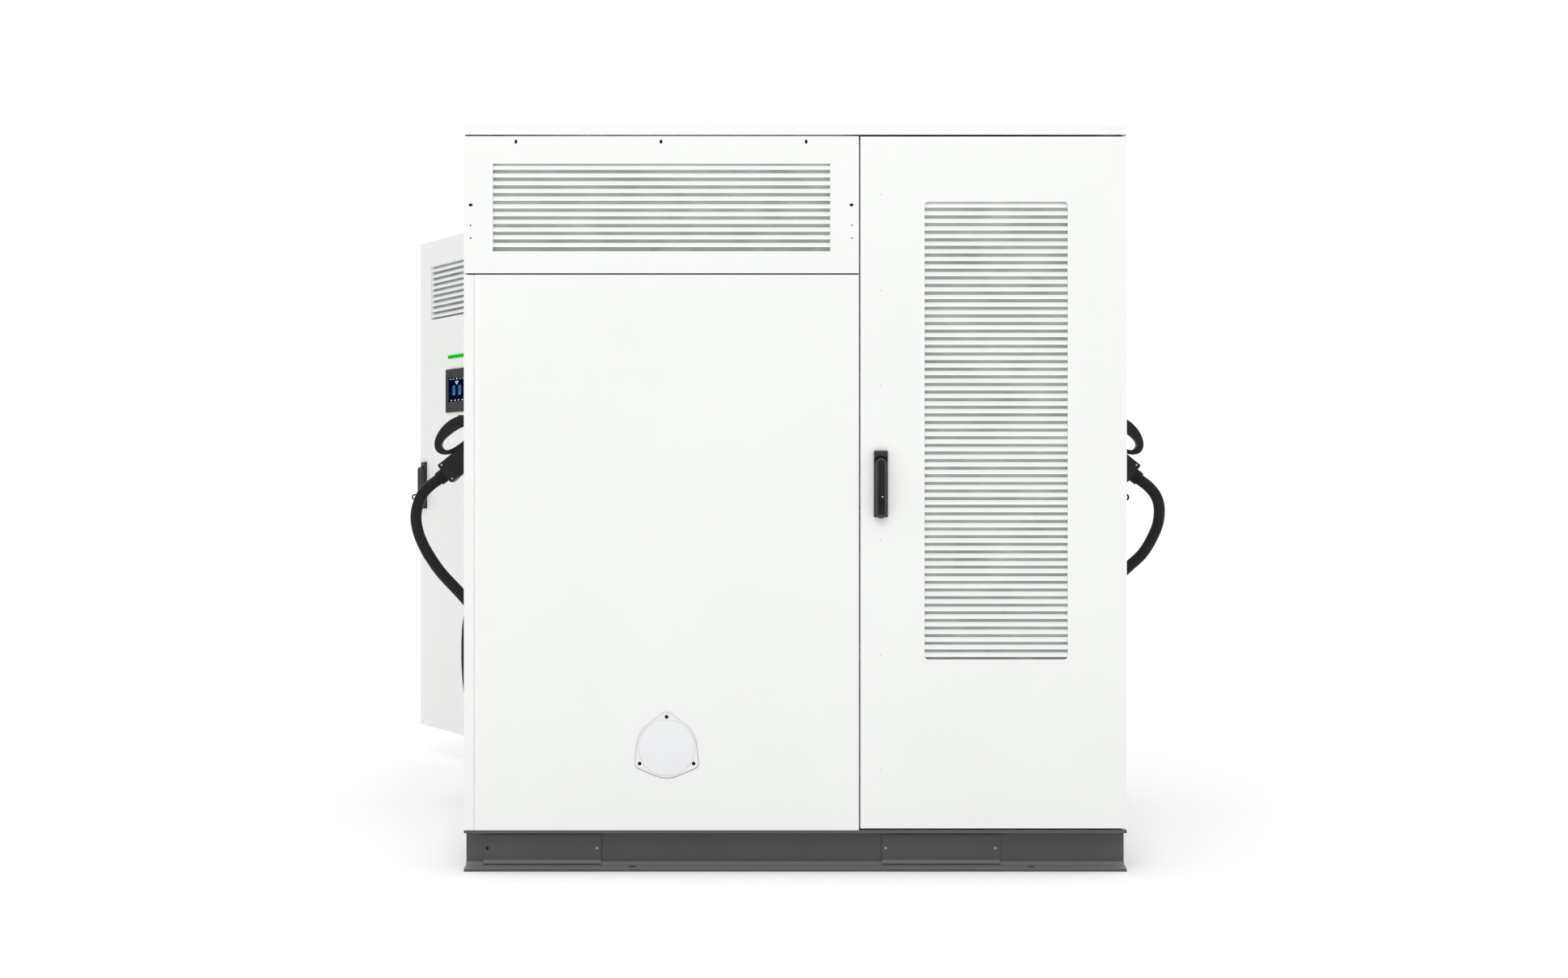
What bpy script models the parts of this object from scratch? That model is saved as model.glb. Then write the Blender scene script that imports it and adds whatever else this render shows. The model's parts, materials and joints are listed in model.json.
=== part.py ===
"""A free-standing charging cabinet for electric vehicles, with its own battery.

Metres, +Z up. The origin is on the ground, under the middle of the cabinet.
The rear (service) face looks towards -Y, the front face with the display door towards +Y.
Each door is modelled closed in a frame of its own: x runs from the hinge axis to the free
edge, y points out of the cabinet and z is height. An empty on the hinge axis places it.
"""

import math

import bmesh
import bpy
from mathutils import Matrix, Vector, geometry

# Driving dimensions of the cabinet
WIDTH = 1.960
DEPTH = 1.770
HEIGHT = 2.2075
BASE_HEIGHT = 0.122
ROOF_HEIGHT = 0.0285
SEAM = 0.005  # open joint between neighbouring panels and doors
SHEET = 0.0025  # steel sheet of the panels and doors
FOLD = 0.035  # depth of their folded edges
CLEAR = 0.0004  # between pieces that touch
REAR_SPLIT = 0.190  # X of the seam between the battery bay and the power bay
FRONT_SPLIT = 0.200
VENT_SEAM = 1.767  # height of the seam under the upper rear panel

HALF_WIDTH = WIDTH / 2
HALF_DEPTH = DEPTH / 2
ROOF_BOTTOM = HEIGHT - ROOF_HEIGHT
PANEL_TOP = ROOF_BOTTOM - SEAM
PANEL_BOTTOM = BASE_HEIGHT + CLEAR
DOOR_BOTTOM = BASE_HEIGHT + 0.006
DOOR_TOP = ROOF_BOTTOM - 0.006
FRAME_X = HALF_WIDTH - FOLD - 0.003  # the welded frame stands just inside the folds
FRAME_Y = HALF_DEPTH - FOLD - 0.003
POST = 0.040

# Doors
FACE = 0.010  # outer face of a door, from its hinge axis
EDGE = 0.010  # hinge-side edge of a door, from its hinge axis
HINGE_X = HALF_WIDTH - EDGE
HINGE_Y = HALF_DEPTH - FACE
HINGE_ROD_RADIUS = 0.004
HINGE_HOLE_RADIUS = 0.0044
FRONT_DOOR_OPEN = 119.75  # degrees, as the door stands at rest
FRONT_DOOR_REACH = FRONT_SPLIT - SEAM / 2 + HINGE_X
REAR_DOOR_REACH = HINGE_X - REAR_SPLIT - SEAM / 2
SIDE_DOOR_FREE_Y = -0.6375
SIDE_DOOR_HINGE_EDGE_Y = 0.250
SIDE_HINGE_Y = SIDE_DOOR_HINGE_EDGE_Y - EDGE
SIDE_DOOR_REACH = SIDE_HINGE_Y - SIDE_DOOR_FREE_Y

# Louvres
LOUVRE_GAP = 0.0091  # between one blade and the next
BLADE_DEPTH = 0.010
BLADE_THICKNESS = 0.0016
LOUVRE_DEPTH = 0.014
LOUVRE_MARGIN = 0.016

# Swing handles, measured from the middle of the handle and from the door's face
HANDLE_INSET = 0.060
HANDLE_Z = 1.146
HANDLE_LENGTH = 0.197
PAN_WIDTH = 0.041
PAN_THICKNESS = 0.012
LEVER_WIDTH = 0.0325
LEVER_THICKNESS = 0.0175
SPINDLE_RISE = 0.060  # spindle axis above the middle of the handle
TILT_HEIGHT = 0.016  # tilt axis above the door's face
SIDE_HANDLE_LIFT = 0.0095  # the side door's handle sits this much higher than the others
RING_DROP = 0.050
RING_HEIGHT = 0.048
RING_RADIUS = 0.012
ROD_TRAVEL = 0.018

# Charging connectors: x runs up the grip from the cable end, z across it, y is its thickness
CONNECTOR_X = 1.2836
CONNECTOR_Y = 0.610
CONNECTOR_Z = 1.166
CONNECTOR_TILT = 38.0
NOSE_RADIUS = 0.035
SOCKET_RADIUS = 0.0366
CABLE_RADIUS = 0.0206
OUTLET_Y = 0.370
OUTLET_Z = 0.850

# Insides
PACK_COUNT = 4
PACK_SIZE = (0.820, 1.120, 0.245)
PACK_PITCH = 0.330
PACK_X = -0.400
PACK_FRONT = 0.740
PACK_BOTTOM = 0.205
FAN_CENTRES = (-0.620, -0.170)
FAN_Z = 1.964
FAN_RADIUS = 0.118
FAN_HOLE_RADIUS = 0.126
FAN_Y = -0.770

COLOURS = {
    "white_steel": ((0.86, 0.88, 0.86), 0.45, 0.0),
    "dark_steel": ((0.085, 0.085, 0.085), 0.55, 0.0),
    "black_plastic": ((0.03, 0.03, 0.03), 0.50, 0.0),
    "black_rubber": ((0.025, 0.025, 0.025), 0.60, 0.0),
    "bare_steel": ((0.55, 0.56, 0.57), 0.35, 1.0),
    "zinc": ((0.62, 0.63, 0.64), 0.40, 1.0),
    "green_light": ((0.02, 0.70, 0.05), 0.30, 0.0),
    "screen": ((0.01, 0.03, 0.10), 0.10, 0.0),
    "red_plastic": ((0.65, 0.02, 0.02), 0.35, 0.0),
    "module_grey": ((0.30, 0.31, 0.32), 0.45, 0.6),
    "battery_blue": ((0.10, 0.13, 0.17), 0.50, 0.2),
}


# --- Shapes -------------------------------------------------------------------------------


def block(low, high):
    """A box between two corners."""
    shape = bmesh.new()
    centre = (Vector(low) + Vector(high)) / 2
    size = Vector(high) - Vector(low)
    placed = Matrix.Translation(centre) @ Matrix.Diagonal((*size, 1))
    bmesh.ops.create_cube(shape, size=1.0, matrix=placed)
    return shape


def prism(outline, axis, low, high):
    """A flat outline pushed along an axis. Its two numbers are the other axes, in X, Y, Z order."""
    shape = bmesh.new()

    def at(point, along):
        values = list(point)
        values.insert("XYZ".index(axis), along)
        return shape.verts.new(values)

    bottom = [at(point, low) for point in outline]
    top = [at(point, high) for point in outline]
    shape.faces.new(bottom)
    shape.faces.new(top[::-1])
    for i in range(len(outline)):
        j = (i + 1) % len(outline)
        shape.faces.new((bottom[i], top[i], top[j], bottom[j]))
    bmesh.ops.recalc_face_normals(shape, faces=shape.faces)
    return shape


def cylinder(start, end, radius, sides=20, end_radius=None):
    """A cylinder, or a cone, between two points."""
    start, end = Vector(start), Vector(end)
    shape = bmesh.new()
    turn = (end - start).to_track_quat("Z", "Y").to_matrix().to_4x4()
    bmesh.ops.create_cone(
        shape,
        cap_ends=True,
        segments=sides,
        radius1=radius,
        radius2=radius if end_radius is None else end_radius,
        depth=(end - start).length,
        matrix=Matrix.Translation((start + end) / 2) @ turn,
    )
    return shape


def arc(centre, radius, first, last, steps):
    """Points along a circle, between two angles in degrees."""
    angles = [math.radians(first + (last - first) * i / steps) for i in range(steps + 1)]
    return [(centre[0] + radius * math.cos(a), centre[1] + radius * math.sin(a)) for a in angles]


def rounded_rectangle(low, high, radius, steps=4):
    """The outline of a rectangle with round corners."""
    corners = (
        ((high[0] - radius, low[1] + radius), -90),
        ((high[0] - radius, high[1] - radius), 0),
        ((low[0] + radius, high[1] - radius), 90),
        ((low[0] + radius, low[1] + radius), 180),
    )
    return [p for centre, first in corners for p in arc(centre, radius, first, first + 90, steps)]


def ellipse(centre, long, short, tilt, steps, power=2.0):
    """The outline of an ellipse whose long half-axis leans by tilt degrees. A higher power squares it."""
    lean = math.radians(tilt)
    points = []
    for i in range(steps):
        a = 2 * math.pi * i / steps
        u = long * math.copysign(abs(math.cos(a)) ** (2 / power), math.cos(a))
        v = short * math.copysign(abs(math.sin(a)) ** (2 / power), math.sin(a))
        x = centre[0] + u * math.cos(lean) - v * math.sin(lean)
        y = centre[1] + u * math.sin(lean) + v * math.cos(lean)
        points.append((x, y))
    return points


def smooth_path(knots, steps):
    """A Catmull-Rom curve through the knots."""
    points = [Vector(k) for k in knots]
    padded = [2 * points[0] - points[1], *points, 2 * points[-1] - points[-2]]
    path = []
    for a, b, c, d in zip(padded, padded[1:], padded[2:], padded[3:]):
        for i in range(steps):
            t = i / steps
            bend = (2 * a - 5 * b + 4 * c - d) * t * t + (3 * b - a - 3 * c + d) * t**3
            path.append((2 * b + (c - a) * t + bend) / 2)
    path.append(points[-1])
    return path


def tube(path, radius, sides, start, end):
    """A round bar along a path, with flat ends square to the directions start and end."""
    shape = bmesh.new()
    count = len(path)
    side = None
    rings = []
    for i, point in enumerate(path):
        along = (path[min(i + 1, count - 1)] - path[max(i - 1, 0)]).normalized()
        if i == 0:
            along = Vector(start)
        if i == count - 1:
            along = Vector(end)
        if side is None:
            side = along.orthogonal().normalized()
        side = (side - along * side.dot(along)).normalized()
        other = along.cross(side)
        ring = []
        for k in range(sides):
            a = 2 * math.pi * k / sides
            ring.append(shape.verts.new(point + radius * (math.cos(a) * side + math.sin(a) * other)))
        rings.append(ring)
    for first, second in zip(rings, rings[1:]):
        for k in range(sides):
            n = (k + 1) % sides
            shape.faces.new((first[k], first[n], second[n], second[k]))
    shape.faces.new(rings[0])
    shape.faces.new(rings[-1])
    bmesh.ops.recalc_face_normals(shape, faces=shape.faces)
    return shape


def gather(shapes):
    """Several shapes that don't touch, held as one."""
    whole = bmesh.new()
    for shape in shapes:
        mesh = bpy.data.meshes.new("gathered")
        shape.to_mesh(mesh)
        shape.free()
        whole.from_mesh(mesh)
        bpy.data.meshes.remove(mesh)
    return whole


def placed(shape, matrix):
    """The shape, moved by a matrix."""
    bmesh.ops.transform(shape, matrix=matrix, verts=shape.verts)
    return shape


def about_face(shape):
    """Half a turn about Z, which takes an outward +Y to the rear face's outward -Y."""
    return placed(shape, Matrix.Rotation(math.pi, 4, "Z"))


def helper_object(shape):
    mesh = bpy.data.meshes.new("helper")
    shape.to_mesh(mesh)
    shape.free()
    helper = bpy.data.objects.new("helper", mesh)
    bpy.context.scene.collection.objects.link(helper)
    return helper


def combined(first, second, operation):
    """One shape joined to, or cut by, another with an exact Boolean."""
    host, guest = helper_object(first), helper_object(second)
    modifier = host.modifiers.new("combine", "BOOLEAN")
    modifier.operation = operation
    modifier.object = guest
    bpy.context.view_layer.update()
    result = bmesh.new()
    result.from_object(host, bpy.context.evaluated_depsgraph_get())
    for helper in (host, guest):
        mesh = helper.data
        bpy.data.objects.remove(helper)
        bpy.data.meshes.remove(mesh)
    return result


def joined(first, *others):
    for other in others:
        first = combined(first, other, "UNION")
    return first


def cut(shape, *cutters):
    for cutter in cutters:
        shape = combined(shape, cutter, "DIFFERENCE")
    return shape


def tray(low, high, open_towards):
    """A folded sheet: a box with SHEET walls and one side open, such as "+Y"."""
    axis = "XYZ".index(open_towards[1])
    inner_low = [value + SHEET for value in low]
    inner_high = [value - SHEET for value in high]
    if open_towards[0] == "+":
        inner_high[axis] = high[axis] + 0.01
    else:
        inner_low[axis] = low[axis] - 0.01
    return cut(block(low, high), block(inner_low, inner_high))


# --- Objects ------------------------------------------------------------------------------


def clear_scene():
    for obj in list(bpy.data.objects):
        bpy.data.objects.remove(obj)


def make_materials():
    for name, (colour, roughness, metallic) in COLOURS.items():
        material = bpy.data.materials.new(name)
        material.use_nodes = True
        shader = material.node_tree.nodes["Principled BSDF"]
        shader.inputs["Base Color"].default_value = (*colour, 1)
        shader.inputs["Roughness"].default_value = roughness
        shader.inputs["Metallic"].default_value = metallic
        material.diffuse_color = (*colour, 1)


def node(name, shape, material, parent=None, origin=(0, 0, 0), bevel=0.0, smooth=30):
    """One sub-part. The shape is in its parent's frame, and origin is a point on its joint's axis."""
    placed(shape, Matrix.Translation(-Vector(origin)))
    mesh = bpy.data.meshes.new(name)
    shape.to_mesh(mesh)
    shape.free()
    mesh.materials.append(bpy.data.materials[material])
    obj = bpy.data.objects.new(name, mesh)
    obj.parent = parent
    obj.location = origin
    bpy.context.scene.collection.objects.link(obj)
    mesh.shade_smooth()
    mesh.set_sharp_from_angle(angle=math.radians(smooth))
    if bevel:
        modifier = obj.modifiers.new("edges", "BEVEL")
        modifier.width = bevel
        modifier.segments = 2
        modifier.limit_method = "ANGLE"
    return obj


def empty(name, location, turn_z=0.0, tilt_y=0.0):
    """A frame for a door or a connector."""
    obj = bpy.data.objects.new(name, None)
    obj.location = location
    obj.rotation_euler = (0, math.radians(tilt_y), math.radians(turn_z))
    bpy.context.scene.collection.objects.link(obj)
    return obj


# --- Base, frame and fixed panels ---------------------------------------------------------

CHANNEL_REACH = 0.054  # how far the flanges stand out of the web
WEB = 0.0055
FLANGE_TIP = 0.0084
FLANGE_ROOT = 0.0125
FORK_COVER_EDGES = ((-0.929, -0.578), (0.258, 0.611))
FORK_COVER_INSET = 0.024
ANCHOR_HOLES_X = (-0.483, 0.699)
CROSS_MEMBERS_X = (-0.420, 0.0)


def channel_outline(outward):
    """The section of a long base channel in Y and Z, its open side facing outward."""
    tip = HALF_DEPTH
    web = HALF_DEPTH - CHANNEL_REACH
    fillet = 0.008
    lower = [(tip, 0), (tip, FLANGE_TIP), (web + fillet, FLANGE_ROOT), (web, FLANGE_ROOT + fillet)]
    upper = [(y, BASE_HEIGHT - z) for y, z in reversed(lower)]
    back = [(web - WEB, BASE_HEIGHT), (web - WEB, 0)]
    return [(outward * y, z) for y, z in lower + upper + back]


def base_frame():
    """Two long channels with open ends, two side channels, cross members and a deck."""
    ends = HALF_DEPTH - CHANNEL_REACH - WEB / 2
    pieces = [prism(channel_outline(1), "X", -HALF_WIDTH, HALF_WIDTH)]
    pieces.append(prism(channel_outline(-1), "X", -HALF_WIDTH, HALF_WIDTH))
    side = 0.050
    for sign in (-1, 1):
        outline = [(0, 0), (side, 0), (side, FLANGE_TIP), (WEB, FLANGE_TIP)]
        outline += [(x, BASE_HEIGHT - z) for x, z in reversed(outline)]
        outline = [(sign * (HALF_WIDTH - x), z) for x, z in outline]
        pieces.append(prism(outline, "Y", -ends, ends))
    deck = 0.004
    pieces.append(
        block(
            (-HALF_WIDTH + side / 2, -ends, BASE_HEIGHT - FLANGE_TIP),
            (HALF_WIDTH - side / 2, ends, BASE_HEIGHT - FLANGE_TIP + deck),
        )
    )
    for x in CROSS_MEMBERS_X:
        pieces.append(block((x - 0.025, -ends, 0), (x + 0.025, ends, BASE_HEIGHT - FLANGE_TIP + 0.001)))
    whole = joined(*pieces)
    openings = []
    for sign in (-1, 1):
        web = sign * (HALF_DEPTH - CHANNEL_REACH)
        for low, high in FORK_COVER_EDGES:
            openings.append(
                block(
                    (low + FORK_COVER_INSET, min(web, web - sign * 0.02) - 0.004, 0.032),
                    (high - FORK_COVER_INSET, max(web, web - sign * 0.02) + 0.004, 0.096),
                )
            )
        for x in ANCHOR_HOLES_X:
            y = sign * (HALF_DEPTH - 0.024)
            openings.append(cylinder((x, y, -0.01), (x, y, 0.03), 0.011, 12))
    return cut(whole, gather(openings))


def fork_cover(low, high):
    """A plate bolted over a fork opening, with its lower edge bent outwards."""
    y = -(HALF_DEPTH - CHANNEL_REACH) - CLEAR
    thick = 0.003
    lip = 0.010
    outline = [
        (y, 0.1005),
        (y, 0.0245),
        (y - lip, 0.0245 - lip),
        (y - lip - thick * 0.7, 0.0245 - lip + thick * 0.7),
        (y - thick, 0.0245 + thick * 0.4),
        (y - thick, 0.1005),
    ]
    return prism(outline, "X", low, high)


def cabinet_frame():
    """Corner and middle posts joined by rails, welded into one frame."""
    bottom = PANEL_BOTTOM
    top = PANEL_TOP - 0.002
    middle = (REAR_SPLIT - 0.020, REAR_SPLIT + 0.045)
    pieces = []
    for sign in (-1, 1):
        y_low, y_high = sorted((sign * FRAME_Y, sign * (FRAME_Y - POST)))
        bars = [(-FRAME_X, -FRAME_X + POST), middle, (FRAME_X - POST, FRAME_X)]
        for x_low, x_high in bars:
            pieces.append(block((x_low, y_low, bottom), (x_high, y_high, top)))
        for low in (bottom, top - POST):
            rail = block((-FRAME_X + 0.01, y_low + 0.001, low), (FRAME_X - 0.01, y_high - 0.001, low + POST))
            pieces.append(placed(rail, Matrix.Translation((0, 0, 0.001 if low == bottom else -0.001))))
    for x_low in (-FRAME_X + 0.001, middle[0] + 0.001, FRAME_X - POST + 0.001):
        for low in (bottom + 0.002, top - POST - 0.002):
            pieces.append(
                block((x_low, -FRAME_Y + 0.02, low), (x_low + POST - 0.002, FRAME_Y - 0.02, low + POST))
            )
    seam_rail = block(
        (-FRAME_X + 0.01, -FRAME_Y + 0.002, VENT_SEAM - POST / 2),
        (middle[0] + 0.01, -FRAME_Y + POST - 0.002, VENT_SEAM + POST / 2),
    )
    pieces.append(seam_rail)
    return joined(*pieces)


def roof_cap():
    return tray((-HALF_WIDTH, -HALF_DEPTH, ROOF_BOTTOM), (HALF_WIDTH, HALF_DEPTH, HEIGHT), "-Z")


WRAP = 0.030  # the left panel turns the rear corner by this much


def left_side_panel():
    """A folded side panel whose lower part also turns the rear corner."""
    low = (-HALF_WIDTH, -FRAME_Y, PANEL_BOTTOM)
    high = (-HALF_WIDTH + FOLD, FRAME_Y, PANEL_TOP)
    corner_top = VENT_SEAM - SEAM / 2
    corner = joined(
        block(
            (-HALF_WIDTH, -HALF_DEPTH, PANEL_BOTTOM),
            (-HALF_WIDTH + SHEET, -FRAME_Y + 0.001, corner_top),
        ),
        block(
            (-HALF_WIDTH, -HALF_DEPTH, PANEL_BOTTOM),
            (-HALF_WIDTH + WRAP, -HALF_DEPTH + SHEET, corner_top),
        ),
    )
    return joined(tray(low, high, "+X"), corner)


def right_side_panel(y_low, y_high):
    low = (HALF_WIDTH - FOLD, y_low, PANEL_BOTTOM)
    return tray(low, (HALF_WIDTH, y_high, PANEL_TOP), "-X")


COVER_CENTRE = (-0.3803, 0.3663)
COVER_RADIUS = 0.088
COVER_EAR_REACH = 0.092
COVER_EAR_RADIUS = 0.014


def rear_lower_panel():
    """The large rear panel, with the round opening that the cover plate closes."""
    low = (-HALF_WIDTH + WRAP + 0.0008, -HALF_DEPTH, PANEL_BOTTOM)
    high = (REAR_SPLIT - SEAM / 2, -HALF_DEPTH + FOLD, VENT_SEAM - 0.002)
    x, z = COVER_CENTRE
    hole = cylinder((x, -HALF_DEPTH - 0.01, z), (x, -HALF_DEPTH + 0.01, z), 0.070, 32)
    return cut(tray(low, high, "+Y"), hole)


def cover_plate():
    """A round plate with three bolt ears."""
    points = arc(COVER_CENTRE, COVER_RADIUS, 0, 360, 48)[:-1]
    for angle in (90, 210, 330):
        ear = arc(COVER_CENTRE, COVER_EAR_REACH, angle, angle, 1)[0]
        points += arc(ear, COVER_EAR_RADIUS, 0, 360, 16)[:-1]
    outline = [points[i] for i in geometry.convex_hull_2d(points)]
    plate = prism(outline, "Y", -HALF_DEPTH - CLEAR - 0.004, -HALF_DEPTH - CLEAR)
    return plate


# --- Louvres ------------------------------------------------------------------------------


def louvre(low, high, face, foot, pitch):
    """Slanted blades in a frame behind a window from low to high in x and z.

    Outward is +y, and face is the y of the frame's outer side. The lowest blade stands
    a foot's height above the window's lower edge.
    """
    wide = LOUVRE_MARGIN
    outer = block((low[0] - wide, face - LOUVRE_DEPTH, low[1] - wide), (high[0] + wide, face, high[1] + wide))
    inner = block((low[0], face - 2 * LOUVRE_DEPTH, low[1]), (high[0], face + 0.01, high[1]))
    frame = cut(outer, inner)
    count = math.floor((high[1] - low[1] - foot + LOUVRE_GAP) / pitch)
    blades = []
    for i in range(count):
        bottom = low[1] + foot + i * pitch
        top = bottom + pitch - LOUVRE_GAP
        front = face - 0.001
        back = front - BLADE_DEPTH
        outline = [
            (front, bottom),
            (front, bottom + BLADE_THICKNESS),
            (back + BLADE_THICKNESS, top),
            (back, top),
            (back, top - BLADE_THICKNESS),
            (front - BLADE_THICKNESS, bottom),
        ]
        blades.append(prism(outline, "X", low[0] - 0.004, high[0] + 0.004))
    return joined(frame, gather(blades))


VENT_WINDOW = ((-0.103, 1.834), (0.895, 2.094))  # turned to face the rear: x is -X here
VENT_BLADES = (0.0130, 0.02287)  # height of the lowest blade above the window's edge, and pitch


def rear_vent_panel():
    """The upper rear panel, with its wide ventilation window."""
    low = (-HALF_WIDTH, -HALF_DEPTH, VENT_SEAM + 0.002)
    high = (REAR_SPLIT - SEAM / 2, -HALF_DEPTH + FOLD, PANEL_TOP)
    (x_low, z_low), (x_high, z_high) = VENT_WINDOW
    window = block((-x_high, -HALF_DEPTH - 0.01, z_low), (-x_low, -HALF_DEPTH + 0.01, z_high))
    return cut(tray(low, high, "+Y"), window)


def rear_vent_louvre():
    return about_face(louvre(*VENT_WINDOW, HALF_DEPTH - SHEET - CLEAR, *VENT_BLADES))


# --- Doors and their handles --------------------------------------------------------------


def door_shell(reach, windows=(), holes=(), lift=0.0):
    """A folded door. windows are (low, high, corner radius) in x and z, holes are extra cutters."""
    shell = tray((-EDGE, FACE - FOLD, DOOR_BOTTOM), (reach, FACE, DOOR_TOP), "-Y")
    handle = (reach - HANDLE_INSET, HANDLE_Z + SPINDLE_RISE + lift)
    cutters = [
        cylinder((handle[0], FACE - 0.01, handle[1]), (handle[0], FACE + 0.01, handle[1]), 0.0095),
        cylinder((0, 0, DOOR_BOTTOM - 0.01), (0, 0, DOOR_BOTTOM + 0.01), HINGE_HOLE_RADIUS, 16),
        cylinder((0, 0, DOOR_TOP - 0.01), (0, 0, DOOR_TOP + 0.01), HINGE_HOLE_RADIUS, 16),
    ]
    for low, high, radius in windows:
        if radius:
            outline = rounded_rectangle(low, high, radius)
            cutters.append(prism(outline, "Y", FACE - 0.01, FACE + 0.01))
        else:
            cutters.append(block((low[0], FACE - 0.01, low[1]), (high[0], FACE + 0.01, high[1])))
    return cut(shell, gather(cutters + list(holes)))


def hinge_rod(x, y):
    low = BASE_HEIGHT + CLEAR
    return cylinder((x, y, low), (x, y, ROOF_BOTTOM + 0.015), HINGE_ROD_RADIUS, 16)


def handle_pan(x):
    """The plate under the lever, with a round pocket for the lever's head."""
    low = (x - PAN_WIDTH / 2, HANDLE_Z - HANDLE_LENGTH / 2)
    high = (x + PAN_WIDTH / 2, HANDLE_Z + HANDLE_LENGTH / 2)
    back = FACE + CLEAR
    front = FACE + PAN_THICKNESS
    plate = prism(rounded_rectangle(low, high, 0.003, 2), "Y", back, front)
    z = HANDLE_Z + SPINDLE_RISE
    pocket = cylinder((x, FACE + 0.004, z), (x, front + 0.01, z), 0.0192, 28)
    bore = cylinder((x, FACE - 0.01, z), (x, front + 0.01, z), 0.0095)
    return cut(plate, pocket, bore)


def handle_spindle(x):
    """The shaft through the door, with its cam inside and the lug that carries the lever."""
    z = HANDLE_Z + SPINDLE_RISE
    shaft = cylinder((x, FACE - 0.0195, z), (x, FACE + 0.006, z), 0.0085)
    cam_end = 0.030
    cam = prism(
        arc((x, z + cam_end), 0.009, 0, 180, 6) + arc((x, z - cam_end), 0.009, 180, 360, 6),
        "Y",
        FACE - 0.0195,
        FACE - 0.0165,
    )
    lug = block((x - 0.004, FACE + 0.003, z - 0.004), (x + 0.004, FACE + TILT_HEIGHT + 0.004, z + 0.004))
    return joined(shaft, cam, lug)


def handle_lever(x):
    """The swing lever, hollow over the spindle's lug, with its padlock ring."""
    back = FACE + PAN_THICKNESS + 0.0005
    front = back + LEVER_THICKNESS
    half = LEVER_WIDTH / 2
    foot = HANDLE_Z - HANDLE_LENGTH / 2 + 0.001
    head = HANDLE_Z + SPINDLE_RISE
    outline = [(x - half, head + 0.006), (x - half, foot + 0.003), (x - half + 0.003, foot)]
    tip = ((-0.009, 0), (-0.006, 0.004), (0.006, 0.004), (0.009, 0))
    outline += [(x + offset, foot - drop) for offset, drop in tip]
    outline += [(x + half - 0.003, foot), (x + half, foot + 0.003), (x + half, head + 0.006)]
    outline += [(x + dx, head + 0.017 - dx * dx / 0.024) for dx in (0.012, 0.006, 0, -0.006, -0.012)]
    body = prism(outline, "Y", back, front)
    edges = [e for e in body.edges if all(abs(v.co.y - front) < 1e-6 for v in e.verts)]
    bmesh.ops.bevel(body, geom=edges, offset=0.004, segments=2, profile=0.6, affect="EDGES")
    ceiling = FACE + TILT_HEIGHT + 0.0095
    pocket = block((x - 0.0065, back - 0.01, head - 0.0115), (x + 0.0065, ceiling, head + 0.0115))
    ring_z = HANDLE_Z - RING_DROP
    ring_y = FACE + RING_HEIGHT
    eye = cylinder((x - 0.002, ring_y, ring_z), (x + 0.002, ring_y, ring_z), RING_RADIUS, 20)
    neck = block((x - 0.0021, front - 0.004, ring_z - 0.006), (x + 0.0021, ring_y - 0.004, ring_z + 0.006))
    hole = cylinder((x - 0.01, ring_y, ring_z), (x + 0.01, ring_y, ring_z), 0.0075, 20)
    return joined(cut(body, pocket), cut(joined(eye, neck), hole))


def lock_rod(x, upper):
    """A flat rod from the cam to the top or the bottom edge of the door."""
    z = HANDLE_Z + SPINDLE_RISE
    if upper:
        low, high = z + 0.030, DOOR_TOP - 0.008
    else:
        low, high = DOOR_BOTTOM + 0.008, z - 0.030
    return block((x - 0.006, FACE - 0.0245, low), (x + 0.006, FACE - 0.0205, high))


def swing_handle(prefix, axis, reach, rods, lift=0.0):
    """A whole swing handle on a door, with or without lock rods."""
    x = reach - HANDLE_INSET
    raise_it = Matrix.Translation((0, 0, lift))
    spindle = (x, FACE, HANDLE_Z + SPINDLE_RISE + lift)
    tilt = (x, FACE + TILT_HEIGHT, HANDLE_Z + SPINDLE_RISE + lift)
    node(prefix + "_handle_pan", placed(handle_pan(x), raise_it), "black_plastic", axis)
    node(prefix + "_handle_spindle", placed(handle_spindle(x), raise_it), "zinc", axis, spindle)
    node(prefix + "_handle_lever", placed(handle_lever(x), raise_it), "black_plastic", axis, tilt)
    if rods:
        node(prefix + "_upper_lock_rod", lock_rod(x, True), "zinc", axis, spindle)
        node(prefix + "_lower_lock_rod", lock_rod(x, False), "zinc", axis, spindle)


REAR_WINDOW_X = (0.164, 0.588)  # from the hinge axis
REAR_WINDOW_Z = (0.627, 1.981)
REAR_BLADES = (0.0075, 0.02253)
FRONT_WINDOW_X = (0.118, 1.039)
FRONT_WINDOW_Z = (1.842, 2.0665)
FRONT_BLADES = (0.0091, 0.02393)
DISPLAY_CENTRE = (0.734, 1.5345)
DISPLAY_SIZE = (0.242, 0.177)
SCREEN_SIZE = (0.178, 0.104)
LIGHT_BAR_X = (0.632, 0.837)
LIGHT_BAR_Z = (1.668, 1.681)


def rear_door(axis):
    low = (REAR_WINDOW_X[0], REAR_WINDOW_Z[0])
    high = (REAR_WINDOW_X[1], REAR_WINDOW_Z[1])
    node("rear_door", door_shell(REAR_DOOR_REACH, [(low, high, 0.012)]), "white_steel", axis)
    node("rear_door_louvre", louvre(low, high, FACE - SHEET - CLEAR, *REAR_BLADES), "white_steel", axis)


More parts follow.
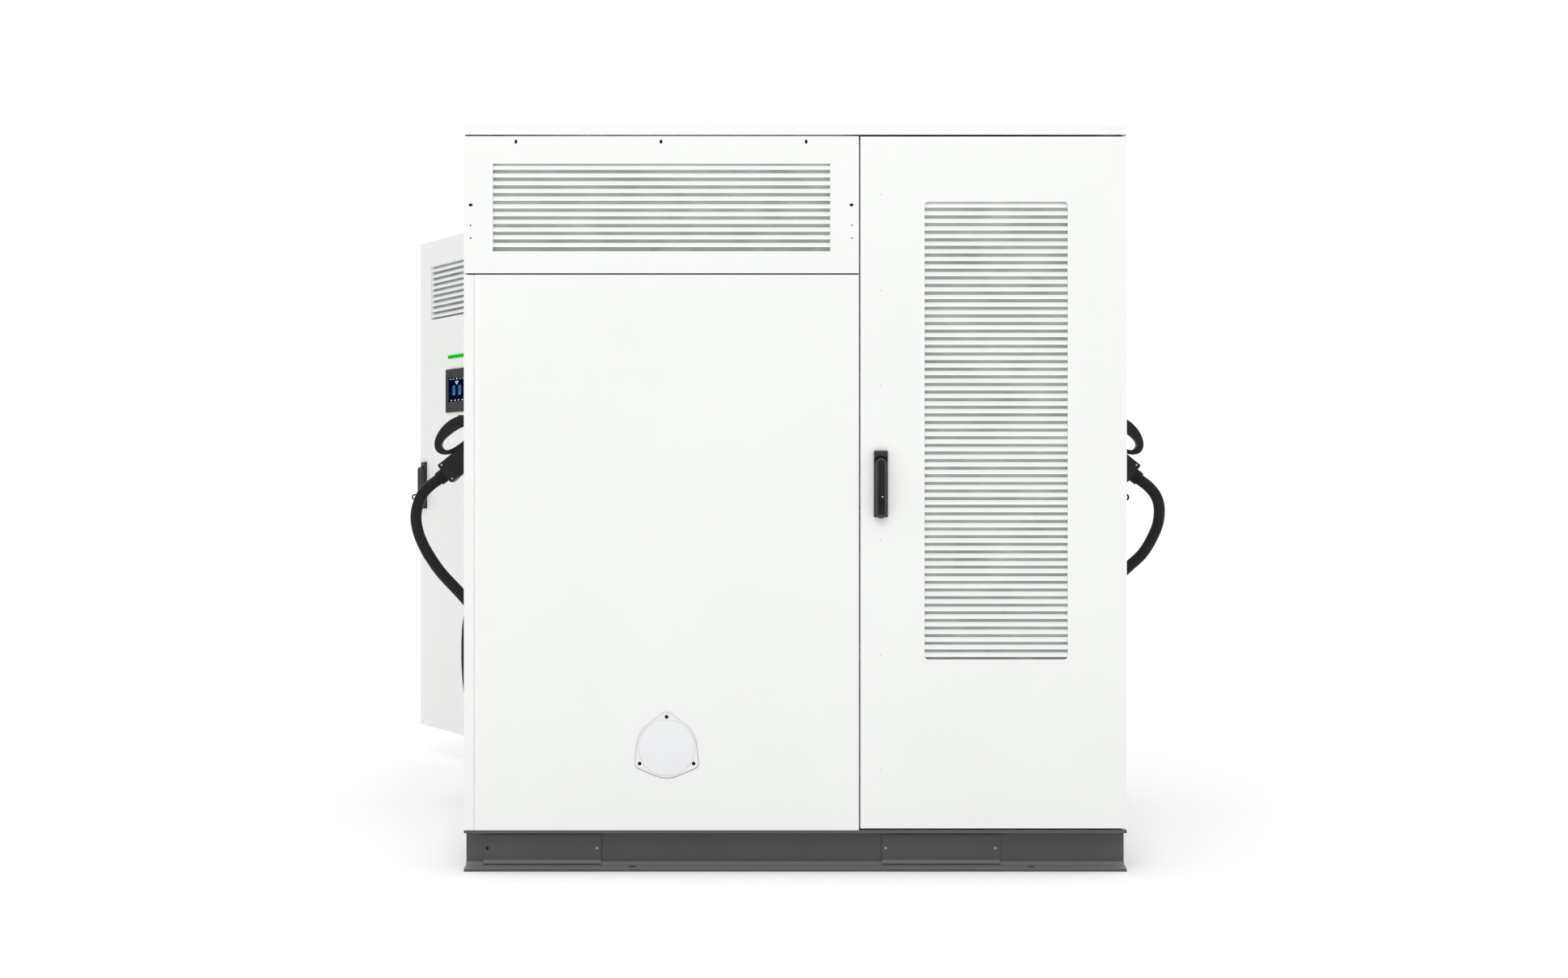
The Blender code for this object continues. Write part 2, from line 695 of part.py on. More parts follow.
def display_housing():
    """The display's bezel and the box behind it, open to the front for the screen."""
    x, z = DISPLAY_CENTRE
    half_x, half_z = DISPLAY_SIZE[0] / 2, DISPLAY_SIZE[1] / 2
    bezel = block((x - half_x, FACE + CLEAR, z - half_z), (x + half_x, FACE + 0.007, z + half_z))
    box = block(
        (x - half_x + 0.016, FACE - 0.028, z - half_z + 0.016),
        (x + half_x - 0.016, FACE + 0.002, z + half_z - 0.016),
    )
    opening = block(
        (x - SCREEN_SIZE[0] / 2, FACE - 0.001, z - SCREEN_SIZE[1] / 2 + 0.003),
        (x + SCREEN_SIZE[0] / 2, FACE + 0.02, z + SCREEN_SIZE[1] / 2 + 0.003),
    )
    return cut(joined(bezel, box), opening)


def display_screen():
    x, z = DISPLAY_CENTRE
    half_x, half_z = SCREEN_SIZE[0] / 2 - CLEAR, SCREEN_SIZE[1] / 2 - CLEAR
    z += 0.003
    return block((x - half_x, FACE - 0.0006, z - half_z), (x + half_x, FACE + 0.0050, z + half_z))


def light_bar():
    low = (LIGHT_BAR_X[0], FACE + CLEAR, LIGHT_BAR_Z[0])
    return block(low, (LIGHT_BAR_X[1], FACE + 0.004, LIGHT_BAR_Z[1]))


def front_door(axis):
    low = (FRONT_WINDOW_X[0], FRONT_WINDOW_Z[0])
    high = (FRONT_WINDOW_X[1], FRONT_WINDOW_Z[1])
    x, z = DISPLAY_CENTRE
    half_x, half_z = DISPLAY_SIZE[0] / 2 - 0.015, DISPLAY_SIZE[1] / 2 - 0.015
    opening = block((x - half_x, FACE - 0.01, z - half_z), (x + half_x, FACE + 0.01, z + half_z))
    shell = door_shell(FRONT_DOOR_REACH, [(low, high, 0)], [opening])
    node("front_door", shell, "white_steel", axis)
    node("front_door_louvre", louvre(low, high, FACE - SHEET - CLEAR, *FRONT_BLADES), "white_steel", axis)
    node("display_housing", display_housing(), "black_plastic", axis)
    node("display_screen", display_screen(), "screen", axis)
    node("light_bar", light_bar(), "green_light", axis)


# --- Charging connectors ------------------------------------------------------------------


def world_to_grip(x, z):
    """A point given by its distance from the cabinet's middle plane and its height, in the grip's frame."""
    lean = math.radians(CONNECTOR_TILT)
    dx, dz = CONNECTOR_X - x, z - CONNECTOR_Z
    return (dx * math.cos(lean) + dz * math.sin(lean), -dx * math.sin(lean) + dz * math.cos(lean))


BUTTON_TRAVEL = 0.003
BUTTON_OUTER = 1.211
BUTTON_INNER = 1.165
BUTTON_TOP = 1.4015
BUTTON_HEIGHT = 0.013


def button_outline(margin, above):
    """The release button, level with the ground while the connector rests in its holster."""
    low = BUTTON_TOP - BUTTON_HEIGHT - margin * 10
    high = BUTTON_TOP + above
    corners = ((BUTTON_OUTER + margin, low), (BUTTON_INNER - margin, low))
    corners += ((BUTTON_INNER - margin, high), (BUTTON_OUTER + margin, high))
    return [world_to_grip(x, z) for x, z in corners]


def connector():
    """A charging connector: strain relief, grip body, carrying loop and round nose."""
    sleeve = cylinder((0, 0, 0), (0.036, 0, 0), 0.0235, 20, 0.0250)
    body = prism(
        [(0.031, -0.033), (0.037, -0.039), (0.196, -0.039), (0.205, -0.030)]
        + [(0.205, 0.036), (0.196, 0.043), (0.090, 0.0425), (0.040, 0.041), (0.031, 0.035)],
        "Y",
        -0.034,
        0.034,
    )
    edges = [e for e in body.edges if abs(e.verts[0].co.y - e.verts[1].co.y) < 1e-6]
    bmesh.ops.bevel(body, geom=edges, offset=0.007, segments=2, profile=0.5, affect="EDGES")
    nose = cylinder((0.200, 0, 0), (0.290, 0, 0), NOSE_RADIUS, 28)
    recess = cylinder((0.262, 0, 0), (0.300, 0, 0), NOSE_RADIUS - 0.004, 28)
    loop = prism(ellipse((0.1455, 0.0926), 0.088, 0.052, 7, 36), "Y", -0.017, 0.017)
    rim = [e for e in loop.edges if abs(e.verts[0].co.y - e.verts[1].co.y) < 1e-6]
    bmesh.ops.bevel(loop, geom=rim, offset=0.006, segments=2, profile=0.5, affect="EDGES")
    grip_hole = prism(ellipse((0.1435, 0.0788), 0.0605, 0.025, -2, 32, 2.6), "Y", -0.05, 0.05)
    slot = prism(button_outline(0.0005, 0.03), "Y", -0.0105, 0.0105)
    whole = joined(body, cut(loop, grip_hole, slot), sleeve)
    return joined(whole, cut(nose, recess))


def release_button():
    return prism(button_outline(0, 0), "Y", -0.010, 0.010)


def holster():
    """A wedge-shaped holster whose socket takes the connector's nose. Its back is on the side panel."""
    wall = world_to_grip(HALF_WIDTH + CLEAR, 1.225)
    wall_top = world_to_grip(HALF_WIDTH + CLEAR, 1.505)
    shoulder = world_to_grip(1.060, 1.480)
    outline = [(0.215, -0.056), (0.215, 0.046), (0.262, 0.046), shoulder, wall_top, wall]
    shell = prism(outline, "Y", -0.062, 0.062)
    edges = [e for e in shell.edges if abs(e.verts[0].co.y - e.verts[1].co.y) < 1e-6]
    wall_edge = [e for e in edges if all(_at_wall(v.co) for v in e.verts)]
    edges = [e for e in edges if e not in wall_edge]
    bmesh.ops.bevel(shell, geom=edges, offset=0.006, segments=2, profile=0.5, affect="EDGES")
    socket = cylinder((0.200, 0, 0), (0.300, 0, 0), SOCKET_RADIUS, 28)
    return cut(shell, socket)


def _at_wall(point):
    lean = math.radians(CONNECTOR_TILT)
    return CONNECTOR_X - (point.x * math.cos(lean) - point.z * math.sin(lean)) < HALF_WIDTH + 0.001


def cable_path(side, droop):
    """Cable centres from the connector, out and down, round a low loop and up to the outlet.

    side is -1 or 1, and droop lists (distance from the middle plane, height) of the outer bow.
    """
    lean = math.radians(CONNECTOR_TILT)
    gap = 2 * CLEAR
    start = (CONNECTOR_X + gap * math.cos(lean), CONNECTOR_Z - gap * math.sin(lean))
    bow = [(x, CONNECTOR_Y, z) for x, z in [start, *droop]]
    low_loop = [
        (1.066, 0.600, 0.430),
        (1.064, 0.592, 0.300),
        (1.068, 0.562, 0.195),
        (1.080, 0.492, 0.142),
        (1.100, 0.420, 0.190),
        (1.118, 0.386, 0.300),
        (1.1385, 0.373, 0.412),
        (1.1465, OUTLET_Y, 0.540),
        (1.1385, OUTLET_Y, 0.674),
        (1.098, OUTLET_Y, 0.790),
        (1.040, OUTLET_Y, 0.843),
        (HALF_WIDTH + CLEAR, OUTLET_Y, OUTLET_Z),
    ]
    return smooth_path([(side * x, y, z) for x, y, z in bow + low_loop], 4)


LEFT_DROOP = (
    (1.3190, 1.1390),
    (1.3510, 1.0980),
    (1.3672, 1.0230),
    (1.3455, 0.9364),
    (1.2828, 0.8341),
    (1.1928, 0.7349),
    (1.1160, 0.6400),
    (1.0780, 0.5400),
)
RIGHT_DROOP = (
    (1.3220, 1.1350),
    (1.3480, 1.0980),
    (1.3572, 1.0500),
    (1.3459, 0.9848),
    (1.3000, 0.9000),
    (1.2390, 0.8407),
    (1.1500, 0.7550),
    (1.0850, 0.6100),
)


def cable(side, droop):
    """A charging cable and the gland that holds it at the cabinet."""
    gland = cylinder(
        (side * (HALF_WIDTH + CLEAR), OUTLET_Y, OUTLET_Z),
        (side * (HALF_WIDTH + 0.036), OUTLET_Y, OUTLET_Z),
        0.033,
        6,
    )
    lean = math.radians(CONNECTOR_TILT)
    start = (side * math.cos(lean), 0, -math.sin(lean))
    return joined(tube(cable_path(side, droop), CABLE_RADIUS, 10, start, (-side, 0, 0)), gland)


# --- Insides ------------------------------------------------------------------------------


def bay_partition():
    x = REAR_SPLIT + 0.010
    return block((x, -FRAME_Y + POST + 0.002, 0.175), (x + SHEET, FRAME_Y - POST - 0.002, 2.110))


def battery_rack():
    """Four posts with a shelf under each battery pack."""
    half = PACK_SIZE[0] / 2
    back = PACK_FRONT - PACK_SIZE[1]
    low, high = PANEL_BOTTOM + 0.002, PACK_BOTTOM + PACK_COUNT * PACK_PITCH + 0.010
    pieces = []
    for x in (PACK_X - half - 0.046, PACK_X + half + 0.006):
        for y in (back + 0.02, PACK_FRONT - 0.06):
            pieces.append(block((x, y, low), (x + 0.040, y + 0.040, high)))
    for i in range(PACK_COUNT + 1):
        top = PACK_BOTTOM + i * PACK_PITCH - CLEAR
        pieces.append(
            block((PACK_X - half - 0.044, back, top - 0.004), (PACK_X + half + 0.044, PACK_FRONT - 0.01, top))
        )
    return joined(*pieces)


def battery_pack(index):
    """A sealed pack with side rails and a stepped front."""
    half = PACK_SIZE[0] / 2
    low = PACK_BOTTOM + index * PACK_PITCH
    body = block(
        (PACK_X - half, PACK_FRONT - PACK_SIZE[1], low),
        (PACK_X + half, PACK_FRONT, low + PACK_SIZE[2] - 0.040),
    )
    lid = block(
        (PACK_X - half + 0.020, PACK_FRONT - PACK_SIZE[1] + 0.020, low + 0.150),
        (PACK_X + half - 0.020, PACK_FRONT - 0.030, low + PACK_SIZE[2]),
    )
    return joined(body, lid)


def high_voltage_box():
    low = PACK_BOTTOM + PACK_COUNT * PACK_PITCH
    half = PACK_SIZE[0] / 2
    box = block((PACK_X - half, 0.240, low), (PACK_X + half, PACK_FRONT, low + 0.180))
    boss = cylinder((PACK_X, PACK_FRONT - 0.01, low + 0.09), (PACK_X, PACK_FRONT + 0.006, low + 0.09), 0.036)
    return joined(box, boss)


ISOLATOR_Z = PACK_BOTTOM + PACK_COUNT * PACK_PITCH + 0.09


def isolator_handle():
    """The main isolator's rotary handle."""
    y = PACK_FRONT + 0.006 + CLEAR
    disc = cylinder((PACK_X, y, ISOLATOR_Z), (PACK_X, y + 0.012, ISOLATOR_Z), 0.032)
    z = ISOLATOR_Z
    bar = block((PACK_X - 0.009, y + 0.006, z - 0.038), (PACK_X + 0.009, y + 0.034, z + 0.038))
    return joined(disc, bar)


MODULE_X = (0.330, 0.850)
MODULE_Y = (-0.700, -0.180)
MODULE_Z = (0.650, 1.310)
MODULE_HEIGHT = 0.600


def power_module_rack():
    """An open rack that carries the two banks of power modules."""
    pieces = []
    top = MODULE_Z[1] + MODULE_HEIGHT + 0.030
    for x in (MODULE_X[0] - 0.036, MODULE_X[1] + 0.006):
        for y in (MODULE_Y[0] + 0.02, MODULE_Y[1] - 0.05):
            pieces.append(block((x, y, PANEL_BOTTOM + 0.002), (x + 0.030, y + 0.030, top)))
    for z in (*MODULE_Z, top - 0.003):
        pieces.append(
            block(
                (MODULE_X[0] - 0.034, MODULE_Y[0], z - 0.005 - CLEAR),
                (MODULE_X[1] + 0.034, MODULE_Y[1], z - CLEAR),
            )
        )
    return joined(*pieces)


def power_module(low):
    """A bank of plug-in power modules behind one stepped face."""
    body = block((MODULE_X[0], MODULE_Y[0] + 0.02, low), (MODULE_X[1], MODULE_Y[1], low + MODULE_HEIGHT))
    faces = []
    count = 4
    step = MODULE_HEIGHT / count
    for i in range(count):
        bottom = low + i * step + 0.006
        faces.append(
            block(
                (MODULE_X[0] + 0.008, MODULE_Y[0], bottom),
                (MODULE_X[1] - 0.008, MODULE_Y[0] + 0.021, bottom + step - 0.012),
            )
        )
    return joined(body, gather(faces))


def fan_plate():
    """The plate behind the upper vent, with two fan openings and a strut behind each fan."""
    plate_y = (FAN_Y - 0.006, FAN_Y + 0.006)
    plate = block((-0.880, plate_y[0], 1.800), (0.100, plate_y[1], 2.128))
    struts = []
    openings = []
    for x in FAN_CENTRES:
        openings.append(cylinder((x, FAN_Y - 0.03, FAN_Z), (x, FAN_Y + 0.03, FAN_Z), FAN_HOLE_RADIUS, 32))
        ends = FAN_HOLE_RADIUS + 0.014
        outline = [(x - ends, FAN_Y), (x - ends, FAN_Y + 0.056), (x + ends, FAN_Y + 0.056), (x + ends, FAN_Y)]
        outline += [(x + ends - 0.006, FAN_Y), (x + ends - 0.006, FAN_Y + 0.050)]
        outline += [(x - ends + 0.006, FAN_Y + 0.050), (x - ends + 0.006, FAN_Y)]
        struts.append(prism(outline, "Z", FAN_Z - 0.012, FAN_Z + 0.012))
    return joined(cut(plate, gather(openings)), gather(struts))


def fan_rotor(x):
    """A hub with seven pitched blades."""
    hub = cylinder((x, FAN_Y - 0.024, FAN_Z), (x, FAN_Y + 0.044, FAN_Z), 0.042, 28)
    blades = []
    count = 7
    for i in range(count):
        blade = block((0.036, -0.0015, -0.026), (FAN_RADIUS, 0.0015, 0.026))
        pitch = Matrix.Rotation(math.radians(55), 4, "X")
        spread = Matrix.Rotation(2 * math.pi * i / count, 4, "Y")
        stand = Matrix.Translation((x, FAN_Y + 0.006, FAN_Z)) @ spread @ pitch
        blades.append(placed(blade, stand))
    return joined(hub, gather(blades))


STOP_BUTTON_X = 0.590
STOP_BUTTON_Z = 1.420


def right_front_panel():
    """The fixed front panel of the power bay, with the hole for the stop button's stem."""
    low = (FRONT_SPLIT + SEAM / 2, HALF_DEPTH - FOLD, PANEL_BOTTOM)
    hole = cylinder(
        (STOP_BUTTON_X, HALF_DEPTH - 0.01, STOP_BUTTON_Z),
        (STOP_BUTTON_X, HALF_DEPTH + 0.01, STOP_BUTTON_Z),
        0.012,
    )
    return cut(tray(low, (HALF_WIDTH, HALF_DEPTH, PANEL_TOP), "-Y"), hole)


def stop_button():
    """A mushroom button on its stem."""
    at = (STOP_BUTTON_X, STOP_BUTTON_Z)
    stem = cylinder((at[0], HALF_DEPTH - 0.020, at[1]), (at[0], HALF_DEPTH + 0.020, at[1]), 0.010)
    head = cylinder((at[0], HALF_DEPTH + 0.016, at[1]), (at[0], HALF_DEPTH + 0.032, at[1]), 0.022, 28, 0.018)
    return joined(stem, head)


# --- The whole cabinet --------------------------------------------------------------------


def build_shell():
    node("base_frame", base_frame(), "dark_steel")
    for name, edges in zip(("rear_left_fork_cover", "rear_right_fork_cover"), FORK_COVER_EDGES):
        node(name, fork_cover(*edges), "dark_steel")
    node("cabinet_frame", cabinet_frame(), "zinc")
    node("roof_cap", roof_cap(), "white_steel")
    node("left_side_panel", left_side_panel(), "white_steel")
    front_low = SIDE_DOOR_HINGE_EDGE_Y + SEAM
    node("right_side_panel_front", right_side_panel(front_low, FRAME_Y), "white_steel")
    rear_high = SIDE_DOOR_FREE_Y - SEAM
    node("right_side_panel_rear", right_side_panel(-FRAME_Y, rear_high), "white_steel")
    node("rear_lower_panel", rear_lower_panel(), "white_steel")
    node("rear_vent_panel", rear_vent_panel(), "white_steel")
    node("rear_vent_louvre", rear_vent_louvre(), "white_steel")
    node("round_cover_plate", cover_plate(), "white_steel")
    node("right_front_panel", right_front_panel(), "white_steel")
    stop_axis = (STOP_BUTTON_X, HALF_DEPTH, STOP_BUTTON_Z)
    node("emergency_stop_button", stop_button(), "red_plastic", None, stop_axis)


def build_doors():
    doors = (
        ("rear", (HINGE_X, -HINGE_Y), 180.0, REAR_DOOR_REACH, rear_door),
        ("front", (-HINGE_X, HINGE_Y), FRONT_DOOR_OPEN, FRONT_DOOR_REACH, front_door),
        ("side", (HINGE_X, SIDE_HINGE_Y), -90.0, SIDE_DOOR_REACH, None),
    )
    for prefix, (x, y), turn, reach, build in doors:
        axis = empty(prefix + "_door_axis", (x, y, 0), turn)
        if build:
            build(axis)
        else:
            node("side_door", door_shell(reach, lift=SIDE_HANDLE_LIFT), "white_steel", axis)
        lift = SIDE_HANDLE_LIFT if prefix == "side" else 0.0
        swing_handle(prefix, axis, reach, prefix != "side", lift)
        node(prefix + "_door_hinge_rod", hinge_rod(x, y), "bare_steel")


def build_connectors():
    for prefix, side, droop in (("left", -1, LEFT_DROOP), ("right", 1, RIGHT_DROOP)):
        place = (side * CONNECTOR_X, CONNECTOR_Y, CONNECTOR_Z)
        turn = 0 if side < 0 else 180
        axis = empty(prefix + "_connector_axis", place, turn, -CONNECTOR_TILT)
        node(prefix + "_connector", connector(), "black_plastic", axis)
        node(prefix + "_connector_button", release_button(), "black_plastic", axis)
        node(prefix + "_holster", holster(), "black_plastic", axis)
        node(prefix + "_cable", cable(side, droop), "black_rubber")


def build_insides():
    node("bay_partition", bay_partition(), "zinc")
    node("battery_rack", battery_rack(), "zinc")
    for i in range(PACK_COUNT):
        node(f"battery_pack_{i + 1}", battery_pack(i), "battery_blue")
    node("high_voltage_box", high_voltage_box(), "module_grey")
    handle_axis = (PACK_X, PACK_FRONT, ISOLATOR_Z)
    node("isolator_handle", isolator_handle(), "red_plastic", None, handle_axis)
    node("power_module_rack", power_module_rack(), "zinc")
    for i, low in enumerate(MODULE_Z):
        node(f"power_module_{i + 1}", power_module(low), "module_grey")
    node("fan_plate", fan_plate(), "zinc")
    for name, x in zip(("left_fan", "right_fan"), FAN_CENTRES):
        node(name, fan_rotor(x), "black_plastic", None, (x, FAN_Y, FAN_Z))


clear_scene()
make_materials()
build_shell()
build_doors()
build_connectors()
build_insides()
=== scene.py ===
"""The looks of the charging cabinet: finishes, fine detail, cables, light and camera.

Metres, +Z up. The rear (service) face looks towards -Y and the front face towards +Y.
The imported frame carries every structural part. This script adds to it and never moves it.
Door pieces are built in their door's own frame: x runs from the hinge axis to the free edge,
y points out of the cabinet and z is height.
"""

import json
import math

import bmesh
import bpy
from mathutils import Matrix, Vector

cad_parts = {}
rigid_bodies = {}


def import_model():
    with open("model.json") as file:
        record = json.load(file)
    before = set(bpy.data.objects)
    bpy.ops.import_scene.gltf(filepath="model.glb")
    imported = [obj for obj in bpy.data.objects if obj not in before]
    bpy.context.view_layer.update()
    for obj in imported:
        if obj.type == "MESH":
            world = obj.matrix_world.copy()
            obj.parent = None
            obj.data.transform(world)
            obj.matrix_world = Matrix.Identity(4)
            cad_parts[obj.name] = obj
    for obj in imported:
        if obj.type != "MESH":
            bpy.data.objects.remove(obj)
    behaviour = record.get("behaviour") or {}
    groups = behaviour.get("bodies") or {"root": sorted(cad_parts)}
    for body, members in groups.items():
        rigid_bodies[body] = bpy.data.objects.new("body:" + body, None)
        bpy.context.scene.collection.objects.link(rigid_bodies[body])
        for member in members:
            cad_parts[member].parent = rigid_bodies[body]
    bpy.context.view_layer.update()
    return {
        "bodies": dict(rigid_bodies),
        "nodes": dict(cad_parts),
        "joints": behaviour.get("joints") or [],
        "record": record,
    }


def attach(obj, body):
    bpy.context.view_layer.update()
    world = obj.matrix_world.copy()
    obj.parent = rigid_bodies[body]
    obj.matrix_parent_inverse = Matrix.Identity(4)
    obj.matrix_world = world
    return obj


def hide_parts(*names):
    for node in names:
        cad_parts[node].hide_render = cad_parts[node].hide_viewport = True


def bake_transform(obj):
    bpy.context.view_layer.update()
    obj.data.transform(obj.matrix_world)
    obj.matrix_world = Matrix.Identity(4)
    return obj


# Driving dimensions, the same as the frame's
HALF_WIDTH = 0.980
HALF_DEPTH = 0.885
HEIGHT = 2.2075
SHEET = 0.0025  # thickness of the doors' steel
FACE = 0.010  # a door's outer face, from its hinge axis
FRAME_FACE = 0.847  # outer face of the welded frame, front and rear
LOUVRE_BACK = SHEET + 0.0004 + 0.014  # from a door's face to the back of its louvre
CHANNEL_REACH = 0.054  # from the body's face back to the web of the base channel
LEVER_FRONT = 0.030  # the lever's front, from the door's face
CONNECTOR = (1.2836, 0.610, 1.166)  # where the right connector meets its cable
CONNECTOR_LEAN = math.radians(38.0)
CABLE_RADIUS = 0.0206
OUTLET = (0.370, 0.850)  # Y and Z of the cable outlet on the side panels

TOP_RING = 0.0004  # the small ring in the middle of a round piece's top

LENS_MM = 48.4
CAMERA = (-0.097, -7.117, 1.134)
CAMERA_SHIFT = (0.0137, -0.0006)

SCENE = bpy.context.scene
MATERIALS = {}  # by finish, filled once the frame is loaded


# --- Shapes ---


def block(low, high):
    """A box between two corners."""
    shape = bmesh.new()
    centre = (Vector(low) + Vector(high)) / 2
    size = Vector(high) - Vector(low)
    bmesh.ops.create_cube(shape, size=1.0, matrix=Matrix.Translation(centre) @ Matrix.Diagonal((*size, 1)))
    return shape


def lifted(point, axis, along):
    """A flat point in space. Its two numbers are the other axes, in X, Y, Z order."""
    values = list(point)
    values.insert("XYZ".index(axis), along)
    return values


def stitch(shape, rings):
    """Faces between each ring of vertices and the next."""
    for first, second in zip(rings, rings[1:]):
        for i in range(len(first)):
            j = (i + 1) % len(first)
            shape.faces.new((first[i], first[j], second[j], second[i]))


def prism(outline, axis, low, high):
    """A flat outline pushed along an axis."""
    shape = bmesh.new()
    bottom = [shape.verts.new(lifted(point, axis, low)) for point in outline]
    top = [shape.verts.new(lifted(point, axis, high)) for point in outline]
    shape.faces.new(bottom)
    shape.faces.new(top[::-1])
    for i in range(len(outline)):
        j = (i + 1) % len(outline)
        shape.faces.new((bottom[i], top[i], top[j], bottom[j]))
    bmesh.ops.recalc_face_normals(shape, faces=shape.faces)
    return shape


def circle(shape, radius, height, sides):
    """A ring of vertices about +Z."""
    angles = [2 * math.pi * i / sides for i in range(sides)]
    return [shape.verts.new((radius * math.cos(a), radius * math.sin(a), height)) for a in angles]


def turned(profile, sides=32):
    """A round piece about +Z, from (radius, height) pairs, with flat ends."""
    shape = bmesh.new()
    rings = [circle(shape, radius, height, sides) for radius, height in profile]
    stitch(shape, rings)
    shape.faces.new(rings[0][::-1])
    shape.faces.new(rings[-1])
    bmesh.ops.recalc_face_normals(shape, faces=shape.faces)
    return shape


def capped(profile, sides=32):
    """A round piece about +Z with a closed top, from (radius, height) pairs down from its edge."""
    return turned([(TOP_RING, profile[0][1]), *profile], sides)


def ring_shape(inner, outer, low, high, sides=32):
    """A flat ring about +Z."""
    shape = bmesh.new()
    section = ((inner, low), (outer, low), (outer, high), (inner, high))
    rings = [circle(shape, radius, height, sides) for radius, height in section]
    stitch(shape, rings + rings[:1])
    bmesh.ops.recalc_face_normals(shape, faces=shape.faces)
    return shape


def arc(centre, radius, first, last, steps):
    """Points along a circle, between two angles in degrees."""
    angles = [math.radians(first + (last - first) * i / steps) for i in range(steps + 1)]
    return [(centre[0] + radius * math.cos(a), centre[1] + radius * math.sin(a)) for a in angles]


def rounded_rectangle(low, high, radius, steps=4):
    """The outline of a rectangle with round corners."""
    corners = (
        ((high[0] - radius, low[1] + radius), -90),
        ((high[0] - radius, high[1] - radius), 0),
        ((low[0] + radius, high[1] - radius), 90),
        ((low[0] + radius, low[1] + radius), 180),
    )
    return [p for centre, first in corners for p in arc(centre, radius, first, first + 90, steps)]


def frame_strip(low, high, width, axis, near, far):
    """A flat rectangular ring, mitred at its corners, from near to far along an axis."""
    outer = [(low[0], low[1]), (high[0], low[1]), (high[0], high[1]), (low[0], high[1])]
    inner = [
        (low[0] + width, low[1] + width),
        (high[0] - width, low[1] + width),
        (high[0] - width, high[1] - width),
        (low[0] + width, high[1] - width),
    ]
    shape = bmesh.new()
    loops = []
    for loop, along in ((outer, near), (outer, far), (inner, far), (inner, near)):
        loops.append([shape.verts.new(lifted(point, axis, along)) for point in loop])
    stitch(shape, loops + loops[:1])
    bmesh.ops.recalc_face_normals(shape, faces=shape.faces)
    return shape


def smooth_path(knots, steps):
    """A Catmull-Rom curve through the knots."""
    points = [Vector(k) for k in knots]
    padded = [2 * points[0] - points[1], *points, 2 * points[-1] - points[-2]]
    path = []
    for a, b, c, d in zip(padded, padded[1:], padded[2:], padded[3:]):
        for i in range(steps):
            t = i / steps
            bend = (2 * a - 5 * b + 4 * c - d) * t * t + (3 * b - a - 3 * c + d) * t**3
            path.append((2 * b + (c - a) * t + bend) / 2)
    path.append(points[-1])
    return path


def tube(path, radius, sides=16, start=None, end=None):
    """A round bar along a path. Its flat ends are square to the path, or to the directions given."""
    shape = bmesh.new()
    count = len(path)
    side = None
    rings = []
    for i, point in enumerate(path):
        along = (path[min(i + 1, count - 1)] - path[max(i - 1, 0)]).normalized()
        if i == 0 and start:
            along = Vector(start)
        if i == count - 1 and end:
            along = Vector(end)
        if side is None:
            side = along.orthogonal().normalized()
        side = (side - along * side.dot(along)).normalized()
        other = along.cross(side)
        ring = []
        for k in range(sides):
            a = 2 * math.pi * k / sides
            ring.append(shape.verts.new(point + radius * (math.cos(a) * side + math.sin(a) * other)))
        rings.append(ring)
    stitch(shape, rings)
    shape.faces.new(rings[0])
    shape.faces.new(rings[-1])
    bmesh.ops.recalc_face_normals(shape, faces=shape.faces)
    return shape


def gather(shapes):
    """Several shapes held as one."""
    whole = bmesh.new()
    for shape in shapes:
        mesh = bpy.data.meshes.new("gathered")
        shape.to_mesh(mesh)
        shape.free()
        whole.from_mesh(mesh)
        bpy.data.meshes.remove(mesh)
    return whole


def placed(shape, matrix):
    """The shape, or a list of them held as one, moved by a matrix."""
    if isinstance(shape, list):
        shape = gather(shape)
    bmesh.ops.transform(shape, matrix=matrix, verts=shape.verts)
    return shape


def pointing(at, direction):
    """The matrix that stands a +Z piece at a point, along a direction."""
    turn = Vector(direction).to_track_quat("Z", "Y").to_matrix().to_4x4()
    return Matrix.Translation(at) @ turn


def piece(name, shape, finish, body="cabinet", bevel=0.0, smooth=35):
    """One visual piece in world coordinates, from a shape or a list of them, riding on a CAD body.

    Edges sharper than the smoothing angle stay sharp.
    """
    if isinstance(shape, list):
        shape = gather(shape)
    mesh = bpy.data.meshes.new(name)
    shape.to_mesh(mesh)
    shape.free()
    mesh.materials.append(MATERIALS[finish])
    obj = bpy.data.objects.new(name, mesh)
    SCENE.collection.objects.link(obj)
    mesh.shade_smooth()
    mesh.set_sharp_from_angle(angle=math.radians(smooth))
    if bevel:
        soften(obj, bevel)
    if body:
        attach(obj, body)
    return obj


def soften(obj, width):
    """Rounds an object's edges."""
    modifier = obj.modifiers.new("soft edges", "BEVEL")
    modifier.width = width
    modifier.segments = 2
    modifier.limit_method = "ANGLE"
    modifier.angle_limit = math.radians(30)
    modifier.harden_normals = True


# --- Materials ---


def material_base(name, colour, roughness, metallic=0.0, shine=0.5):
    """A Principled material, and its shader node."""
    material = bpy.data.materials.new(name)
    material.use_nodes = True
    material.diffuse_color = (*colour, 1)
    shader = material.node_tree.nodes["Principled BSDF"]
    shader.inputs["Base Color"].default_value = (*colour, 1)
    for label, value in (("Roughness", roughness), ("Metallic", metallic), ("Specular IOR Level", shine)):
        shader.inputs[label].default_value = value
    return material, shader


def add_node(material, kind, **settings):
    """A node with its settings. A setting named after an input sets that input."""
    node = material.node_tree.nodes.new(kind)
    for key, value in settings.items():
        name = key.replace("_", " ").title()
        if name in node.inputs:
            node.inputs[name].default_value = value
        else:
            setattr(node, key, value)
    return node


def feed(node, name, output):
    """Joins another node's output to a node's input."""
    node.id_data.links.new(output, node.inputs[name])


